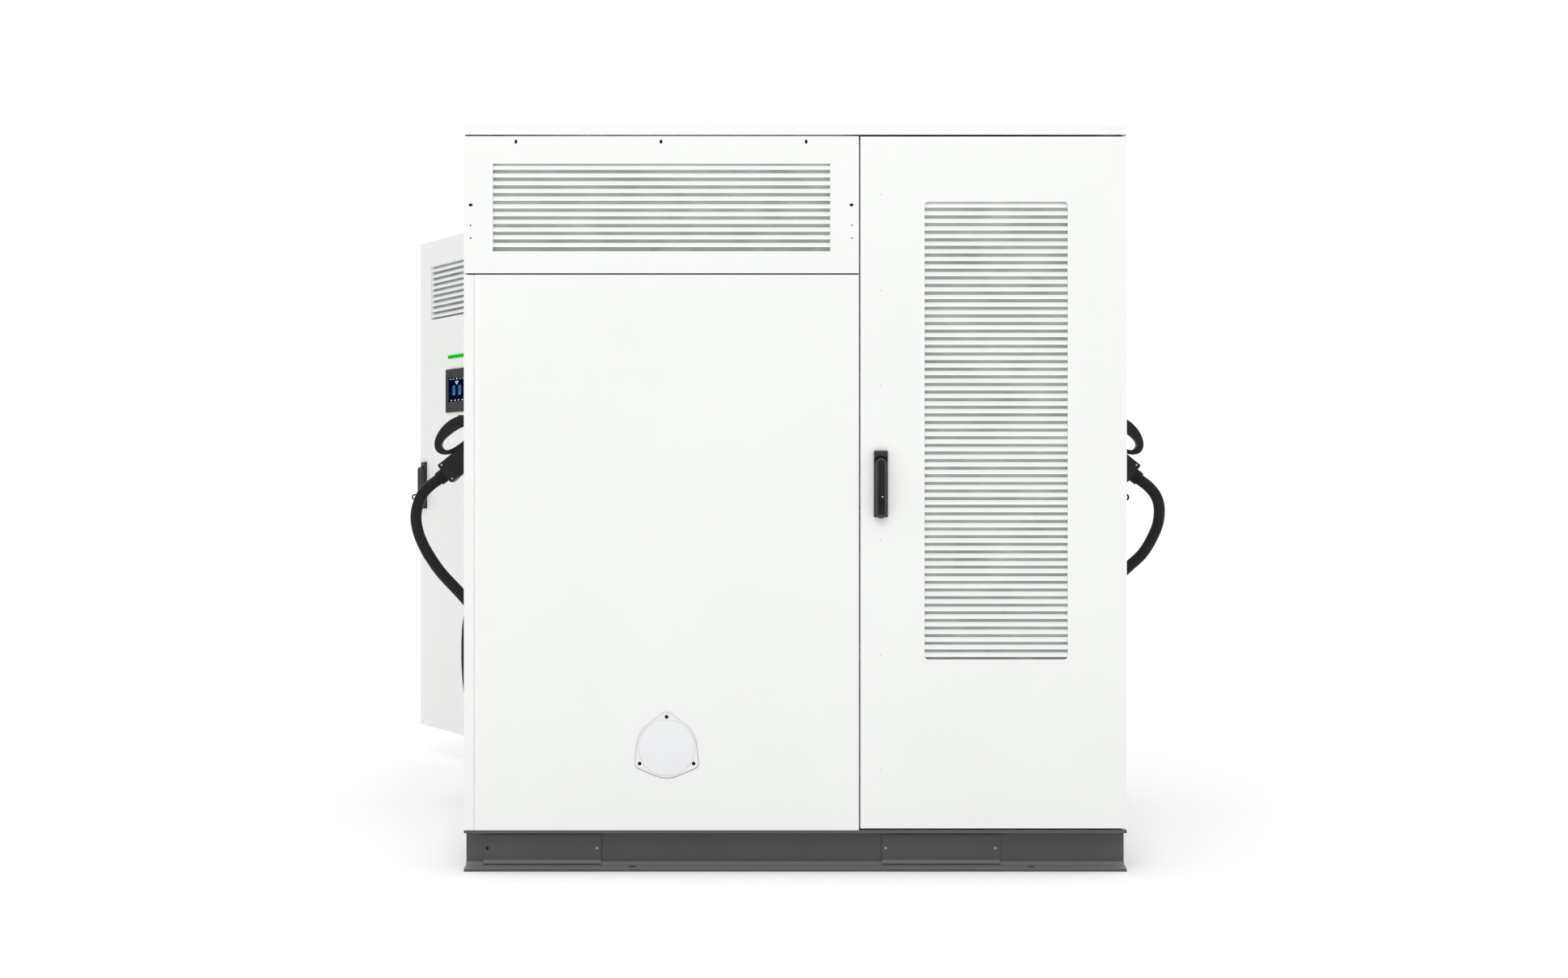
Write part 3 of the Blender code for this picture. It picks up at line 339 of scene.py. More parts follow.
def coordinates(material, stretch=(1, 1, 1)):
    """Object coordinates, stretched."""
    source = add_node(material, "ShaderNodeTexCoord")
    mapping = add_node(material, "ShaderNodeMapping")
    mapping.inputs["Scale"].default_value = stretch
    feed(mapping, "Vector", source.outputs["Object"])
    return mapping.outputs["Vector"]


def noise(material, scale, detail=3.0, stretch=(1, 1, 1), roughness=0.5):
    """A noise value between 0 and 1."""
    texture = add_node(material, "ShaderNodeTexNoise", scale=scale, detail=detail, roughness=roughness)
    feed(texture, "Vector", coordinates(material, stretch))
    return texture.outputs["Fac"]


def remap(material, value, low, high, start=0.3, end=0.7):
    """The value's range from start to end, spread from low to high."""
    node = add_node(material, "ShaderNodeMapRange")
    for name, number in (("From Min", start), ("From Max", end), ("To Min", low), ("To Max", high)):
        node.inputs[name].default_value = number
    feed(node, "Value", value)
    return node.outputs["Result"]


def blend_colours(material, factor, first, second):
    """A colour between two, each a tuple or another node's output."""
    node = add_node(material, "ShaderNodeMix", data_type="RGBA")
    feed(node, 0, factor)
    for i, colour in ((6, first), (7, second)):
        if isinstance(colour, tuple):
            node.inputs[i].default_value = (*colour, 1)
        else:
            feed(node, i, colour)
    return node.outputs[2]


def rough_surface(material, shader, height, distance):
    """Bumps the surface by a height value."""
    bump = add_node(material, "ShaderNodeBump", distance=distance)
    feed(bump, "Height", height)
    feed(shader, "Normal", bump.outputs["Normal"])


def surfaced(material, shader, tint, sheen, height, distance):
    """The material, with its colour, roughness and bumps driven by nodes."""
    feed(shader, "Base Color", tint)
    feed(shader, "Roughness", sheen)
    rough_surface(material, shader, height, distance)
    return material


def shaded(colour, factor):
    """The colour, made darker or lighter."""
    return tuple(min(channel * factor, 1.0) for channel in colour)


def mottled(material, factor, colour, low, high):
    """The colour, shaded from low to high by a node's output."""
    return blend_colours(material, factor, shaded(colour, low), shaded(colour, high))


def powder_coat(name, colour, roughness, grain=0.00006, variation=0.02, scale=700, painted_top_light=0.0):
    """Sprayed paint: orange peel, faint clouding, an uneven sheen, and painted light that makes faces looking
    up lighter.
    """
    material, shader = material_base(name, colour, roughness, shine=0.4)
    cloud = noise(material, 3.0, 4)
    tint = mottled(material, remap(material, cloud, 0, 1), colour, 1 - variation, 1)
    # painted light: faces that look up blend towards a lighter copy of the colour, standing in for light from
    # above
    if painted_top_light:
        facing = add_node(material, "ShaderNodeNewGeometry")
        split = add_node(material, "ShaderNodeSeparateXYZ")
        feed(split, "Vector", facing.outputs["Normal"])
        facing_up = remap(material, split.outputs["Z"], 0, 1, 0.25, 0.85)
        tint = blend_colours(material, facing_up, tint, shaded(colour, painted_top_light))
    sheen = remap(material, noise(material, 14), roughness - 0.05, roughness + 0.06)
    return surfaced(material, shader, tint, sheen, noise(material, scale, 2), grain)


def galvanised(name, colour):
    """Zinc-coated sheet: soft spangle and rolled streaks."""
    material, shader = material_base(name, colour, 0.42, 0.85)
    cells = add_node(material, "ShaderNodeTexVoronoi", scale=70)
    feed(cells, "Vector", coordinates(material))
    split = add_node(material, "ShaderNodeSeparateColor")
    feed(split, "Color", cells.outputs["Color"])
    spangle = remap(material, split.outputs[0], 0, 1, 0, 1)
    tint = mottled(material, spangle, colour, 0.86, 1.1)
    sheen = remap(material, split.outputs[1], 0.34, 0.52, 0, 1)
    return surfaced(material, shader, tint, sheen, noise(material, 260, 2), 0.00005)


def brushed(name, colour, stretch=(1, 1, 40), roughness=0.3):
    """Drawn or brushed metal."""
    material, shader = material_base(name, colour, roughness, 1.0)
    lines = noise(material, 60, 4, stretch)
    tint = mottled(material, lines, colour, 0.85, 1.1)
    sheen = remap(material, lines, roughness - 0.08, roughness + 0.12)
    return surfaced(material, shader, tint, sheen, lines, 0.00004)


def moulded(name, colour, roughness, scale=900, grain=0.00008, shine=0.5):
    """Moulded plastic with an eroded tool texture and slightly polished patches."""
    material, shader = material_base(name, colour, roughness, shine=shine)
    cloud = noise(material, 22, 3)
    tint = mottled(material, cloud, colour, 0.82, 1.2)
    sheen = remap(material, cloud, roughness + 0.06, roughness - 0.08)
    return surfaced(material, shader, tint, sheen, noise(material, scale, 2), grain)


def fibre_mat(name, colour):
    """A non-woven filter mat, unevenly packed."""
    material, shader = material_base(name, colour, 0.95)
    blotches = remap(material, noise(material, 9, 5, (1, 1, 1.6)), 0, 1)
    fibres = noise(material, 420, 6, (1, 1, 3), 0.7)
    base = mottled(material, blotches, colour, 0.80, 1.20)
    strands = remap(material, fibres, 0, 0.4)
    feed(shader, "Base Color", blend_colours(material, strands, base, shaded(colour, 0.6)))
    rough_surface(material, shader, fibres, 0.0012)
    return material


def glowing(name, colour, strength):
    """A lit surface, a little uneven as light behind a diffuser is."""
    material, shader = material_base(name, shaded(colour, 0.05), 0.4, shine=0.0)
    material.diffuse_color = (*colour, 1)
    patches = noise(material, 40, 2)
    tint = mottled(material, remap(material, patches, 0, 1), colour, 0.88, 1)
    feed(shader, "Emission Color", tint)
    shader.inputs["Emission Strength"].default_value = strength
    return material


def perforated(name, colour, pitch):
    """A punched grille: rows of round holes in painted sheet, drawn as dark dots of painted shade."""
    material, shader = material_base(name, colour, 0.5, 0.3)
    cells = add_node(material, "ShaderNodeTexVoronoi", scale=1 / pitch, randomness=0.0)
    feed(cells, "Vector", coordinates(material, (1, 0, 1)))
    # painted shade: the holes are dark dots in the colour with a small bump, not cut through
    holes = remap(material, cells.outputs["Distance"], 0, 1, 0.30, 0.36)
    feed(shader, "Base Color", blend_colours(material, holes, (0.008, 0.008, 0.009), colour))
    rough_surface(material, shader, holes, 0.0008)
    return material


def sheath(name, colour, roughness, shine=0.5):
    """Extruded rubber or cable jacket: a fine bloom, a painted highlight where it faces the view, and painted
    shade where it turns away.
    """
    material, shader = material_base(name, colour, roughness, shine=shine)
    bloom = noise(material, 35, 4)
    # painted highlight and shade: lighter than the jacket's colour face on, darkening to a quarter of it
    # where the surface turns away
    painted_lit_middle = mottled(material, remap(material, bloom, 0, 1), colour, 1.2, 1.6)
    edge = add_node(material, "ShaderNodeLayerWeight", blend=0.35)
    tint = blend_colours(material, edge.outputs["Facing"], painted_lit_middle, shaded(colour, 0.25))
    sheen = remap(material, bloom, roughness - 0.07, roughness + 0.1)
    return surfaced(material, shader, tint, sheen, noise(material, 500, 2), 0.00008)


def ground_material():
    """A white floor with a little glow of its own, so that it meets the white surroundings unseen."""
    material, shader = material_base("studio_floor", FLOOR_COLOUR, 0.9, shine=0.0)
    feed(shader, "Base Color", mottled(material, noise(material, 2), FLOOR_COLOUR, 0.995, 1))
    shader.inputs["Emission Color"].default_value = (1, 1, 1, 1)
    away = add_node(material, "ShaderNodeVectorMath", operation="LENGTH")
    feed(away, 0, coordinates(material))
    glow = remap(material, away.outputs["Value"], *FLOOR_GLOW, *FLOOR_GLOW_REACH)
    feed(shader, "Emission Strength", glow)
    return material


def make_materials():
    """Every material of the object, by the name of its finish."""
    white = (0.865, 0.880, 0.862)
    return {
        # also the lever's white lock pin head, a painted glint
        "white_steel": powder_coat("white_powder_coat_and_glint", white, 0.42),
        # a lighter copy of the white for the louvre blades: painted light making up for the shade their
        # recess casts
        "louvre_white_painted_light": powder_coat("louvre_coat_painted_light", (0.935, 0.947, 0.933), 0.42),
        "textured_white": powder_coat("textured_white", (0.838, 0.846, 0.862), 0.55, 0.0005, 0.03, 330),
        # its faces that look up are painted 2.4 times lighter: painted light from above
        "dark_steel": powder_coat("dark_base_paint", (0.091, 0.092, 0.091), 0.5, 0.00008, 0.08, 500, 2.4),
        "zinc": galvanised("zinc_sheet", (0.60, 0.61, 0.62)),
        "bare_steel": brushed("drawn_steel", (0.56, 0.57, 0.58)),
        "black_plastic": moulded("black_moulding", (0.014, 0.014, 0.014), 0.46, 900, 0.00008, 0.18),
        "soft_black": moulded("soft_black_grip", (0.0145, 0.0145, 0.0145), 0.58, 1400, 0.00012, 0.17),
        "black_rubber": sheath("cable_sheath", (0.0075, 0.0075, 0.0075), 0.38, 0.18),
        # also black strips and discs of painted shade in gaps, holes, a seam and the lock slots
        "gasket_and_shade_black": sheath("door_gasket", (0.007, 0.007, 0.007), 0.75, 0.12),
        "screen": moulded("screen_glass", (0.004, 0.010, 0.028), 0.12, 60, 0.00001, 0.25),
        "green_light": glowing("green_light", (0.010, 0.52, 0.014), 1.0),
        "red_plastic": moulded("red_moulding", (0.55, 0.014, 0.012), 0.32, 700, 0.00003),
        "yellow_plastic": moulded("yellow_moulding", (0.75, 0.50, 0.02), 0.40, 700, 0.00003),
        "orange_cable": sheath("orange_cable_sheath", (0.75, 0.16, 0.01), 0.45),
        "module_grey": powder_coat("module_paint", (0.26, 0.27, 0.28), 0.5, 0.00008, 0.06, 600),
        "module_grille": perforated("module_grille", (0.30, 0.31, 0.32), 0.006),
        "battery_blue": powder_coat("battery_paint", (0.085, 0.11, 0.15), 0.5, 0.0001, 0.08, 500),
        # also the thin ring of painted shade round the round cover's raised middle
        "cast_alloy_and_shade_grey": powder_coat("cast_alloy_and_shade_grey", (0.48, 0.49, 0.50), 0.5, 0.0002, 0.08, 300),
        "filter": fibre_mat("filter_mat", (0.565, 0.605, 0.565)),
        # a darker copy of the filter mat for the front door: painted shade
        "worn_filter": fibre_mat("shaded_filter_mat", (0.40, 0.44, 0.41)),
        # also the painted shadow strip round each handle pan's pocket
        "black_screw_and_shadow": moulded("blackened_screw_and_shadow", (0.006, 0.006, 0.006), 0.5, 500, 0.00004, 0.12),
        "pan_grey": moulded("handle_pan_moulding", (0.029, 0.029, 0.029), 0.44, 900, 0.00006, 0.25),
        # lighter than the pan: shows as painted highlight on the lever's edges and the pan's rim strips
        "lever_highlight_grey": moulded("lever_edge_highlight", (0.046, 0.046, 0.046), 0.42, 900, 0.00006, 0.3),
        "shadow_grey": moulded("shadow_grey", (0.20, 0.20, 0.205), 0.8, 600, 0.00004, 0.1),
        "steel_screw": brushed("zinc_screw", (0.62, 0.62, 0.62), (1, 1, 1), 0.32),
        "screen_blue": glowing("screen_blue", (0.0006, 0.004, 0.022), 1.0),
        "screen_panel": glowing("screen_panel", (0.060, 0.240, 0.440), 1.0),
        "screen_level": glowing("screen_level", (0.028, 0.120, 0.260), 1.0),
        "screen_white": glowing("screen_white", (0.80, 0.84, 0.88), 1.0),
        "copper": brushed("copper_bar", (0.75, 0.36, 0.20), (1, 1, 20), 0.28),
    }


# --- Frames ---


def door_frames(joints):
    """Each door's own frame at rest, and the place of its handle's spindle across the door and up it."""
    found = {joint["name"]: joint for joint in joints}
    frames = {}
    for door in ("rear", "front", "side"):
        hinge = Vector(found[door + "_door_hinge"]["pos_m"])
        across = Vector(found[door + "_lever_tilt"]["axis"])
        spindle = Vector(found[door + "_handle_turn"]["pos_m"])
        turn = math.atan2(across.y, across.x)
        frame = Matrix.Translation(hinge) @ Matrix.Rotation(turn, 4, "Z")
        frames[door] = (frame, (spindle - hinge).dot(across), spindle.z)
    return frames


def grip_frame(side):
    """A connector's frame at rest: x up the grip, y across its thickness, z over its back."""
    turn = Matrix.Rotation(0 if side < 0 else math.pi, 4, "Z")
    tilt = Matrix.Rotation(-CONNECTOR_LEAN, 4, "Y")
    return Matrix.Translation((side * CONNECTOR[0], CONNECTOR[1], CONNECTOR[2])) @ turn @ tilt


# --- Fasteners ---


def button_head(radius, height):
    """A domed screw head with a hexagon socket, standing on z = 0."""
    profile = [(radius * 0.45, height * 0.45), (radius * 0.45, height), (radius * 0.75, height * 0.86)]
    profile += [(radius * 0.95, height * 0.5), (radius, 0)]
    return capped(profile, 18)


def flat_head(radius, height):
    """A flat screw head standing on z = 0."""
    return capped([(radius * 0.94, height), (radius, height * 0.8), (radius, 0)], 24)


def hex_head(radius, height):
    """A hexagon bolt head on its washer."""
    washer = capped([(radius * 1.35, height * 0.25), (radius * 1.35, 0)], 20)
    profile = [(radius * 0.86, height), (radius, height * 0.85), (radius, height * 0.2)]
    return gather([washer, capped(profile, 6)])


# --- Carried-over CAD parts ---

FINISHES = {
    "dark_steel": ("base_frame", "rear_left_fork_cover", "rear_right_fork_cover"),
    "zinc": ("cabinet_frame", "bay_partition", "battery_rack", "power_module_rack", "fan_plate"),
    "bare_steel": ("door_hinge_rod", "lock_rod", "handle_spindle"),
    "black_plastic": ("holster", "display_housing", "fan"),
    "pan_grey": ("handle_pan",),
    "lever_highlight_grey": ("handle_lever",),
    "soft_black": ("connector",),
    "black_rubber": ("cable",),
    "louvre_white_painted_light": ("rear_door_louvre", "rear_vent_louvre", "front_door_louvre"),
    "green_light": ("light_bar",),
    "screen": ("display_screen",),
    "red_plastic": ("isolator_handle", "emergency_stop_button"),
    "battery_blue": ("battery_pack",),
    "module_grey": ("high_voltage_box", "power_module"),
}
SOFT_EDGES = {
    "base_frame": 0.0016,
    "roof_cap": 0.0018,
    "handle_pan": 0.0020,
    "handle_lever": 0.0007,
    "holster": 0.0015,
    "connector": 0.0015,
    "display_housing": 0.0015,
    "light_bar": 0.0008,
    "isolator_handle": 0.002,
    "emergency_stop_button": 0.002,
    "battery_pack": 0.006,
    "high_voltage_box": 0.004,
    "power_module": 0.0015,
    "round_cover_plate": 0.0014,
    "panel": 0.0009,
    "door": 0.0009,
}
EXACT = ("fan_plate", "power_module_rack", "rear_door_louvre", "rear_vent_louvre", "front_door_louvre")


def finish_of(name):
    """The finish of a CAD node, by its name."""
    if name == "round_cover_plate":
        return "textured_white"
    for finish, words in FINISHES.items():
        if name in words:
            return finish
    for finish, words in FINISHES.items():
        if name not in EXACT and any(word in name for word in words):
            return finish
    return "white_steel"


def dress_frame(nodes):
    """Finishes and soft edges for every CAD node."""
    for name, obj in nodes.items():
        obj.data.materials.clear()
        obj.data.materials.append(MATERIALS[finish_of(name)])
        obj.data.shade_smooth()
        obj.data.set_sharp_from_angle(angle=math.radians(32))
        if name in EXACT or "rod" in name:
            continue
        widths = [width for word, width in SOFT_EDGES.items() if word in name]
        if widths:
            soften(obj, widths[0])


# --- Base ---

FORK_COVERS = ((-0.929, -0.578), (0.258, 0.611))
COVER_TOP = 0.1005
COVER_BEND = 0.0245  # where a fork cover turns outwards
COVER_BOLTS_X = (-0.917, -0.590, 0.270, 0.597)
BOLT_Z = 0.061


def front_fork_covers():
    """The same bolted covers as at the rear, over the front fork openings."""
    y = HALF_DEPTH - CHANNEL_REACH + 0.0004
    thick, lip = 0.003, 0.010
    outline = [
        (y, COVER_TOP),
        (y, COVER_BEND),
        (y + lip, COVER_BEND - lip),
        (y + lip + thick * 0.7, COVER_BEND - lip + thick * 0.7),
        (y + thick, COVER_BEND + thick * 0.4),
        (y + thick, COVER_TOP),
    ]
    for i, (low, high) in enumerate(FORK_COVERS):
        cover = prism(outline, "X", low, high)
        piece(f"front_fork_cover_{i + 1}", cover, "dark_steel")


def cover_edges():
    """A black strip at each end of a fork cover: painted shade in the gap."""
    web = HALF_DEPTH - CHANNEL_REACH
    for sign, label in ((-1, "rear"), (1, "front")):
        lines = []
        for low, high in FORK_COVERS:
            near, far = sorted((sign * (web - 0.0005), sign * (web + 0.0004)))
            for x in (low - 0.0006, high + 0.0001):
                lines.append(block((x, near, COVER_BEND - 0.0005), (x + 0.0005, far, COVER_TOP - 0.0005)))
        piece(label + "_cover_gap_shade", lines, "gasket_and_shade_black")


def cover_bolts():
    """Screws at the ends of the fork covers. One rear hole stands empty."""
    face = HALF_DEPTH - CHANNEL_REACH + 0.0034
    for sign, label in ((-1, "rear"), (1, "front")):
        heads = []
        for i, x in enumerate(COVER_BOLTS_X):
            stand = pointing((x, sign * face, BOLT_Z), (0, sign, 0))
            if sign < 0 and i == 0:
                # painted shade: the empty hole is a thin black disc
                hole = placed(capped([(0.0045, 0.0004), (0.0045, 0)], 20), stand)
                piece("open_bolt_hole_shade", hole, "gasket_and_shade_black")
                continue
            heads.append(placed(button_head(0.0038, 0.0022), stand))
        piece(label + "_cover_screws", heads, "steel_screw")


# --- Shell detail ---

COVER_CENTRE = (-0.3803, 0.3663)
COVER_RADIUS = 0.088
COVER_EARS = (90, 210, 330)
COVER_EAR_REACH = 0.092
EAR_RADIUS = 0.014
VENT_SCREWS_TOP = ((-0.826, -0.397, 0.032), 2.158)  # their X, and the height that they share
VENT_SCREWS_SIDE = ((-0.960, 0.166), 1.971)
SPARE_HOLES_X = (-0.960, 0.167)
SPARE_HOLES_Z = (1.911, 1.873)
REAR_SEAM = ((-0.970, 1.7648), (0.184, 1.7691))


def vent_panel_detail():
    """Black screws round the upper rear panel, a black strip of painted shade in the seam below it, and its
    small spare holes as black discs of painted shade.
    """
    face = -HALF_DEPTH
    upright, flat = (0.0042, 0.0058), (0.0058, 0.0042)
    turn = pointing((0, 0, 0), (0, -1, 0))
    heads = []
    for (places, z), (half_x, half_z) in ((VENT_SCREWS_TOP, upright), (VENT_SCREWS_SIDE, flat)):
        spread = Matrix.Diagonal((half_x, 1, half_z, 1))
        for x in places:
            heads.append(placed(flat_head(1, 0.0012), Matrix.Translation((x, face, z)) @ spread @ turn))
    piece("vent_panel_screws", heads, "black_screw_and_shadow")
    (left, low), (right, high) = REAR_SEAM
    # painted shade: a black strip fills the seam between the upper and lower rear panels
    shade_strip = block((left, face - 0.0002, low), (right, face + 0.015, high))
    piece("rear_seam_shade", shade_strip, "gasket_and_shade_black")
    holes = []
    # painted shade: each spare hole is a thin black disc
    for x in SPARE_HOLES_X:
        for z in SPARE_HOLES_Z:
            disc = capped([(0.0022, 0.0003), (0.0022, 0)], 14)
            holes.append(placed(disc, pointing((x, face, z), (0, -1, 0))))
    piece("vent_panel_spare_hole_shade", holes, "gasket_and_shade_black")


def cover_outline(grow, drop):
    """The round cover's outline with its three ears, grown all round and moved down."""
    x, z = COVER_CENTRE[0], COVER_CENTRE[1] + drop
    turn = math.degrees(math.acos((COVER_RADIUS - EAR_RADIUS) / COVER_EAR_REACH))
    outline = []
    for angle in COVER_EARS:
        ear = arc((x, z), COVER_EAR_REACH, angle, angle, 1)[0]
        outline += arc(ear, EAR_RADIUS + grow, angle - turn, angle + turn, 8)
        outline += arc((x, z), COVER_RADIUS + grow, angle + turn, angle + 120 - turn, 12)
    return outline


def round_cover_detail():
    """The round cover's raised middle, a grey ring of painted shade at its edge, a grey outline of painted
    shadow below the cover, and three screws on white washers.
    """
    face = -HALF_DEPTH - 0.0044
    x, z = COVER_CENTRE
    disc = capped([(0.0806, 0.0021), (0.0826, 0.0012), (0.0832, 0)], 96)
    middle = pointing((x, face, z), (0, -1, 0))
    piece("round_cover_disc", placed(disc, middle), "textured_white")
    # painted shade: a thin grey ring at the raised middle's edge
    edge_shade_ring = placed(ring_shape(0.0830, 0.0838, 0, 0.0003, 96), middle)
    piece("round_cover_edge_shade", edge_shade_ring, "cast_alloy_and_shade_grey")
    # painted shadow: a grey outline a little larger than the cover, moved down so it shows below the cover's
    # lower edge
    shade_strip = prism(cover_outline(0.0009, -0.0010), "Y", -HALF_DEPTH - 0.0012, -HALF_DEPTH)
    piece("round_cover_shadow", shade_strip, "shadow_grey")
    washers, heads = [], []
    for angle in COVER_EARS:
        ear = arc(COVER_CENTRE, COVER_EAR_REACH, angle, angle, 1)[0]
        at = pointing((ear[0], face, ear[1]), (0, -1, 0))
        washers.append(placed(ring_shape(0.003, 0.0092, 0, 0.0019, 28), at))
        heads.append(placed(flat_head(0.0056, 0.0024), at))
    piece("round_cover_washers", washers, "white_steel")
    piece("round_cover_screws", heads, "black_screw_and_shadow")


def roof_detail():
    """Flush plugs over the four lifting points."""
    plugs = []
    for x in (-0.86, 0.86):
        for y in (-0.77, 0.77):
            plug = capped([(0.013, 0.0022), (0.016, 0.0012), (0.0165, 0)], 28)
            plugs.append(placed(plug, Matrix.Translation((x, y, HEIGHT))))
    piece("roof_lifting_plugs", plugs, "black_plastic")


GASKET_WIDTH = 0.011
GASKET_THICKNESS = 0.0024


def gaskets():
    """Seals on the welded frame, round the rear and front door openings."""
    openings = (
        ("rear_door", (0.200, 0.142), (0.932, 2.158), -1),
        ("front_door", (-0.932, 0.142), (0.182, 2.158), 1),
    )
    for name, low, high, side in openings:
        far = side * (FRAME_FACE + GASKET_THICKNESS)
        strip = frame_strip(low, high, GASKET_WIDTH, "Y", side * FRAME_FACE, far)
        piece(name + "_gasket", strip, "gasket_and_shade_black", bevel=0.0008)


def stop_button_collar():
    """The yellow ring under the emergency stop button."""
    x, z = 0.590, 1.420
    at = pointing((x, HALF_DEPTH, z), (0, 1, 0))
    collar = ring_shape(0.0125, 0.034, 0, 0.003, 40)
    piece("emergency_stop_collar", placed(collar, at), "yellow_plastic", bevel=0.0008)
    guard = ring_shape(0.0125, 0.017, 0.003, 0.009, 32)
    piece("emergency_stop_guard", placed(guard, at), "black_plastic", bevel=0.0006)


# --- Louvres and filters ---

REAR_WINDOW = ((0.164, 0.627), (0.588, 1.981))
FRONT_WINDOW = ((0.118, 1.842), (1.039, 2.0665))
VENT_WINDOW = ((-0.895, 1.834), (0.103, 2.094))
FILTER_THICKNESS = 0.009
RIB_SPACING = 0.25  # about this far apart, behind a tall filter


def filter_cassette(name, low, high, face, matrix, body, mat_finish):
    """A filter mat in a black frame behind a louvre. Outward is +y."""
    margin = 0.015
    low = (low[0] - margin, low[1] - margin)
    high = (high[0] + margin, high[1] + margin)
    front = face - LOUVRE_BACK - 0.0004
    back = front - FILTER_THICKNESS
    mat = block((low[0] + 0.002, back + 0.001, low[1] + 0.002), (high[0] - 0.002, front, high[1] - 0.002))
    piece(name + "_filter", placed(mat, matrix), mat_finish, body)
    ribs = [frame_strip(low, high, 0.012, "Y", back - 0.0012, back + 0.0008)]
    count = max(round((high[1] - low[1]) / RIB_SPACING), 1)
    for i in range(1, count):
        z = low[1] + (high[1] - low[1]) * i / count
        left, right = low[0] + 0.004, high[0] - 0.004
        ribs.append(block((left, back - 0.001, z - 0.004), (right, back + 0.0006, z + 0.004)))
    piece(name + "_filter_frame", placed(ribs, matrix), "black_plastic", body)


def filters(frames):
    """The three filters. The one at the rear vent is fixed to the cabinet."""
    half_turn = Matrix.Rotation(math.pi, 4, "Z")
    (x_low, z_low), (x_high, z_high) = VENT_WINDOW
    low, high = (-x_high, z_low), (-x_low, z_high)
    filter_cassette("rear_vent", low, high, HALF_DEPTH, half_turn, "cabinet", "filter")
    filter_cassette("rear_door", *REAR_WINDOW, FACE, frames["rear"][0], "rear_door", "filter")
    # the front door's filter takes the darker copy of the mat: painted shade
    filter_cassette("front_door", *FRONT_WINDOW, FACE, frames["front"][0], "front_door", "worn_filter")


# --- Swing handles ---


POCKET_RADIUS = 0.0192  # of the pocket in the pan for the lever's head
PAN_THICKNESS = 0.012
LEVER_DROP = 0.1575  # from the spindle down to the lever's foot


def lever_outline(x, head, foot, inset):
    """The lever's front outline: square at the foot, a pointed arch at the head."""
    half = 0.01625 - inset
    spring = head + 0.006  # where the arch starts
    rise = 0.011 - inset
    outline = [(x - half, spring), (x - half, foot + inset), (x + half, foot + inset), (x + half, spring)]
    outline += [(x + half * t, spring + rise * (1 - t * t)) for t in (0.75, 0.5, 0.25, 0, -0.25, -0.5, -0.75)]
    return outline


def lever_detail(door, frame, x, z):
    """A darker pad on the lever's face, round which the lever's lighter grey shows as painted highlight on
    its edges; a white lock pin, a painted glint; a black strip of painted shade for the slot; and the ring
    round its padlock hole.
    """
    body = door + "_handle_lever"
    front = FACE + LEVER_FRONT
    # painted highlight: the pad stops short of the lever's outline, so a border of the lighter lever grey
    # shows round it as lit edges
    pad = prism(lever_outline(x, z, z - LEVER_DROP, 0.0062), "Y", front, front + 0.0007)
    piece(door + "_lever_pad", placed(pad, frame), "soft_black", body, bevel=0.0003)
    # painted glint: the pin's head is white, standing in for the light it catches
    pin = turned([(TOP_RING, 0.0016), (0.0021, 0.0015), (0.0028, 0.0008), (0.0028, 0)], 18)
    at = frame @ pointing((x - 0.0030, front + 0.0006, z - 0.0985), (0, 1, 0))
    piece(door + "_lock_pin", placed(pin, at), "white_steel", body)
    # painted shade: the slot is a thin black strip standing on the lever's face
    outline = rounded_rectangle((x + 0.0005, z - 0.123), (x + 0.0030, z - 0.100), 0.0011, 3)
    slot = prism(outline, "Y", front, front + 0.0009)
    piece(door + "_lock_slot_shade", placed(slot, frame), "gasket_and_shade_black", body)
    eye = ring_shape(0.0070, 0.0124, -0.0024, 0.0024, 32)
    at = frame @ Matrix.Translation((x, FACE + 0.048, z - 0.110)) @ Matrix.Rotation(math.pi / 2, 4, "Y")
    piece(door + "_padlock_eye", placed(eye, at), "black_screw_and_shadow", body, bevel=0.0006)


def pan_detail(door, frame, x, z):
    """Painted shadow round the pocket in a handle's pan, painted highlights along the pan's edges, and its
    nuts.
    """
    body = door + "_door"
    pan = FACE + PAN_THICKNESS
    # painted shadow: a black strip on the pan just outside the pocket, where the lever's head shades it
    inner = arc((x, z), POCKET_RADIUS + 0.0003, 18, 162, 18)
    outer = [(px, z + 0.0240 - 0.0105 * ((px - x) / 0.0185) ** 2) for px, _ in inner]
    gap = []
    for i in range(len(inner) - 1):
        gap.append(prism([inner[i], outer[i], outer[i + 1], inner[i + 1]], "Y", pan, pan + 0.0003))
    piece(door + "_pan_shadow_gap", placed(gap, frame), "black_screw_and_shadow", body)
    # painted highlight: thin strips of the lighter lever grey along the pan's top and sides, where its
    # rounded edges catch the light
    top = z + 0.0385
    rim_highlights = [block((x - 0.0175, pan, top - 0.0046), (x + 0.0175, pan + 0.0003, top - 0.0018))]
    for side in (-1, 1):
        edge = x + side * 0.0183
        rim_highlights.append(block((edge - 0.0006, pan, z - 0.152), (edge + 0.0006, pan + 0.0003, z + 0.030)))
    piece(door + "_pan_rim_highlight", placed(rim_highlights, frame), "lever_highlight_grey", body)
    nuts = []
    for drop in (0.135, 0.030):
        at = frame @ pointing((x, FACE - SHEET, z - drop), (0, -1, 0))
        nuts.append(placed(hex_head(0.0050, 0.0035), at))
    piece(door + "_handle_nuts", nuts, "steel_screw", body)


ROD_GUIDES = (0.30, 0.64, 0.98, 1.438, 1.718, 2.002)  # their heights


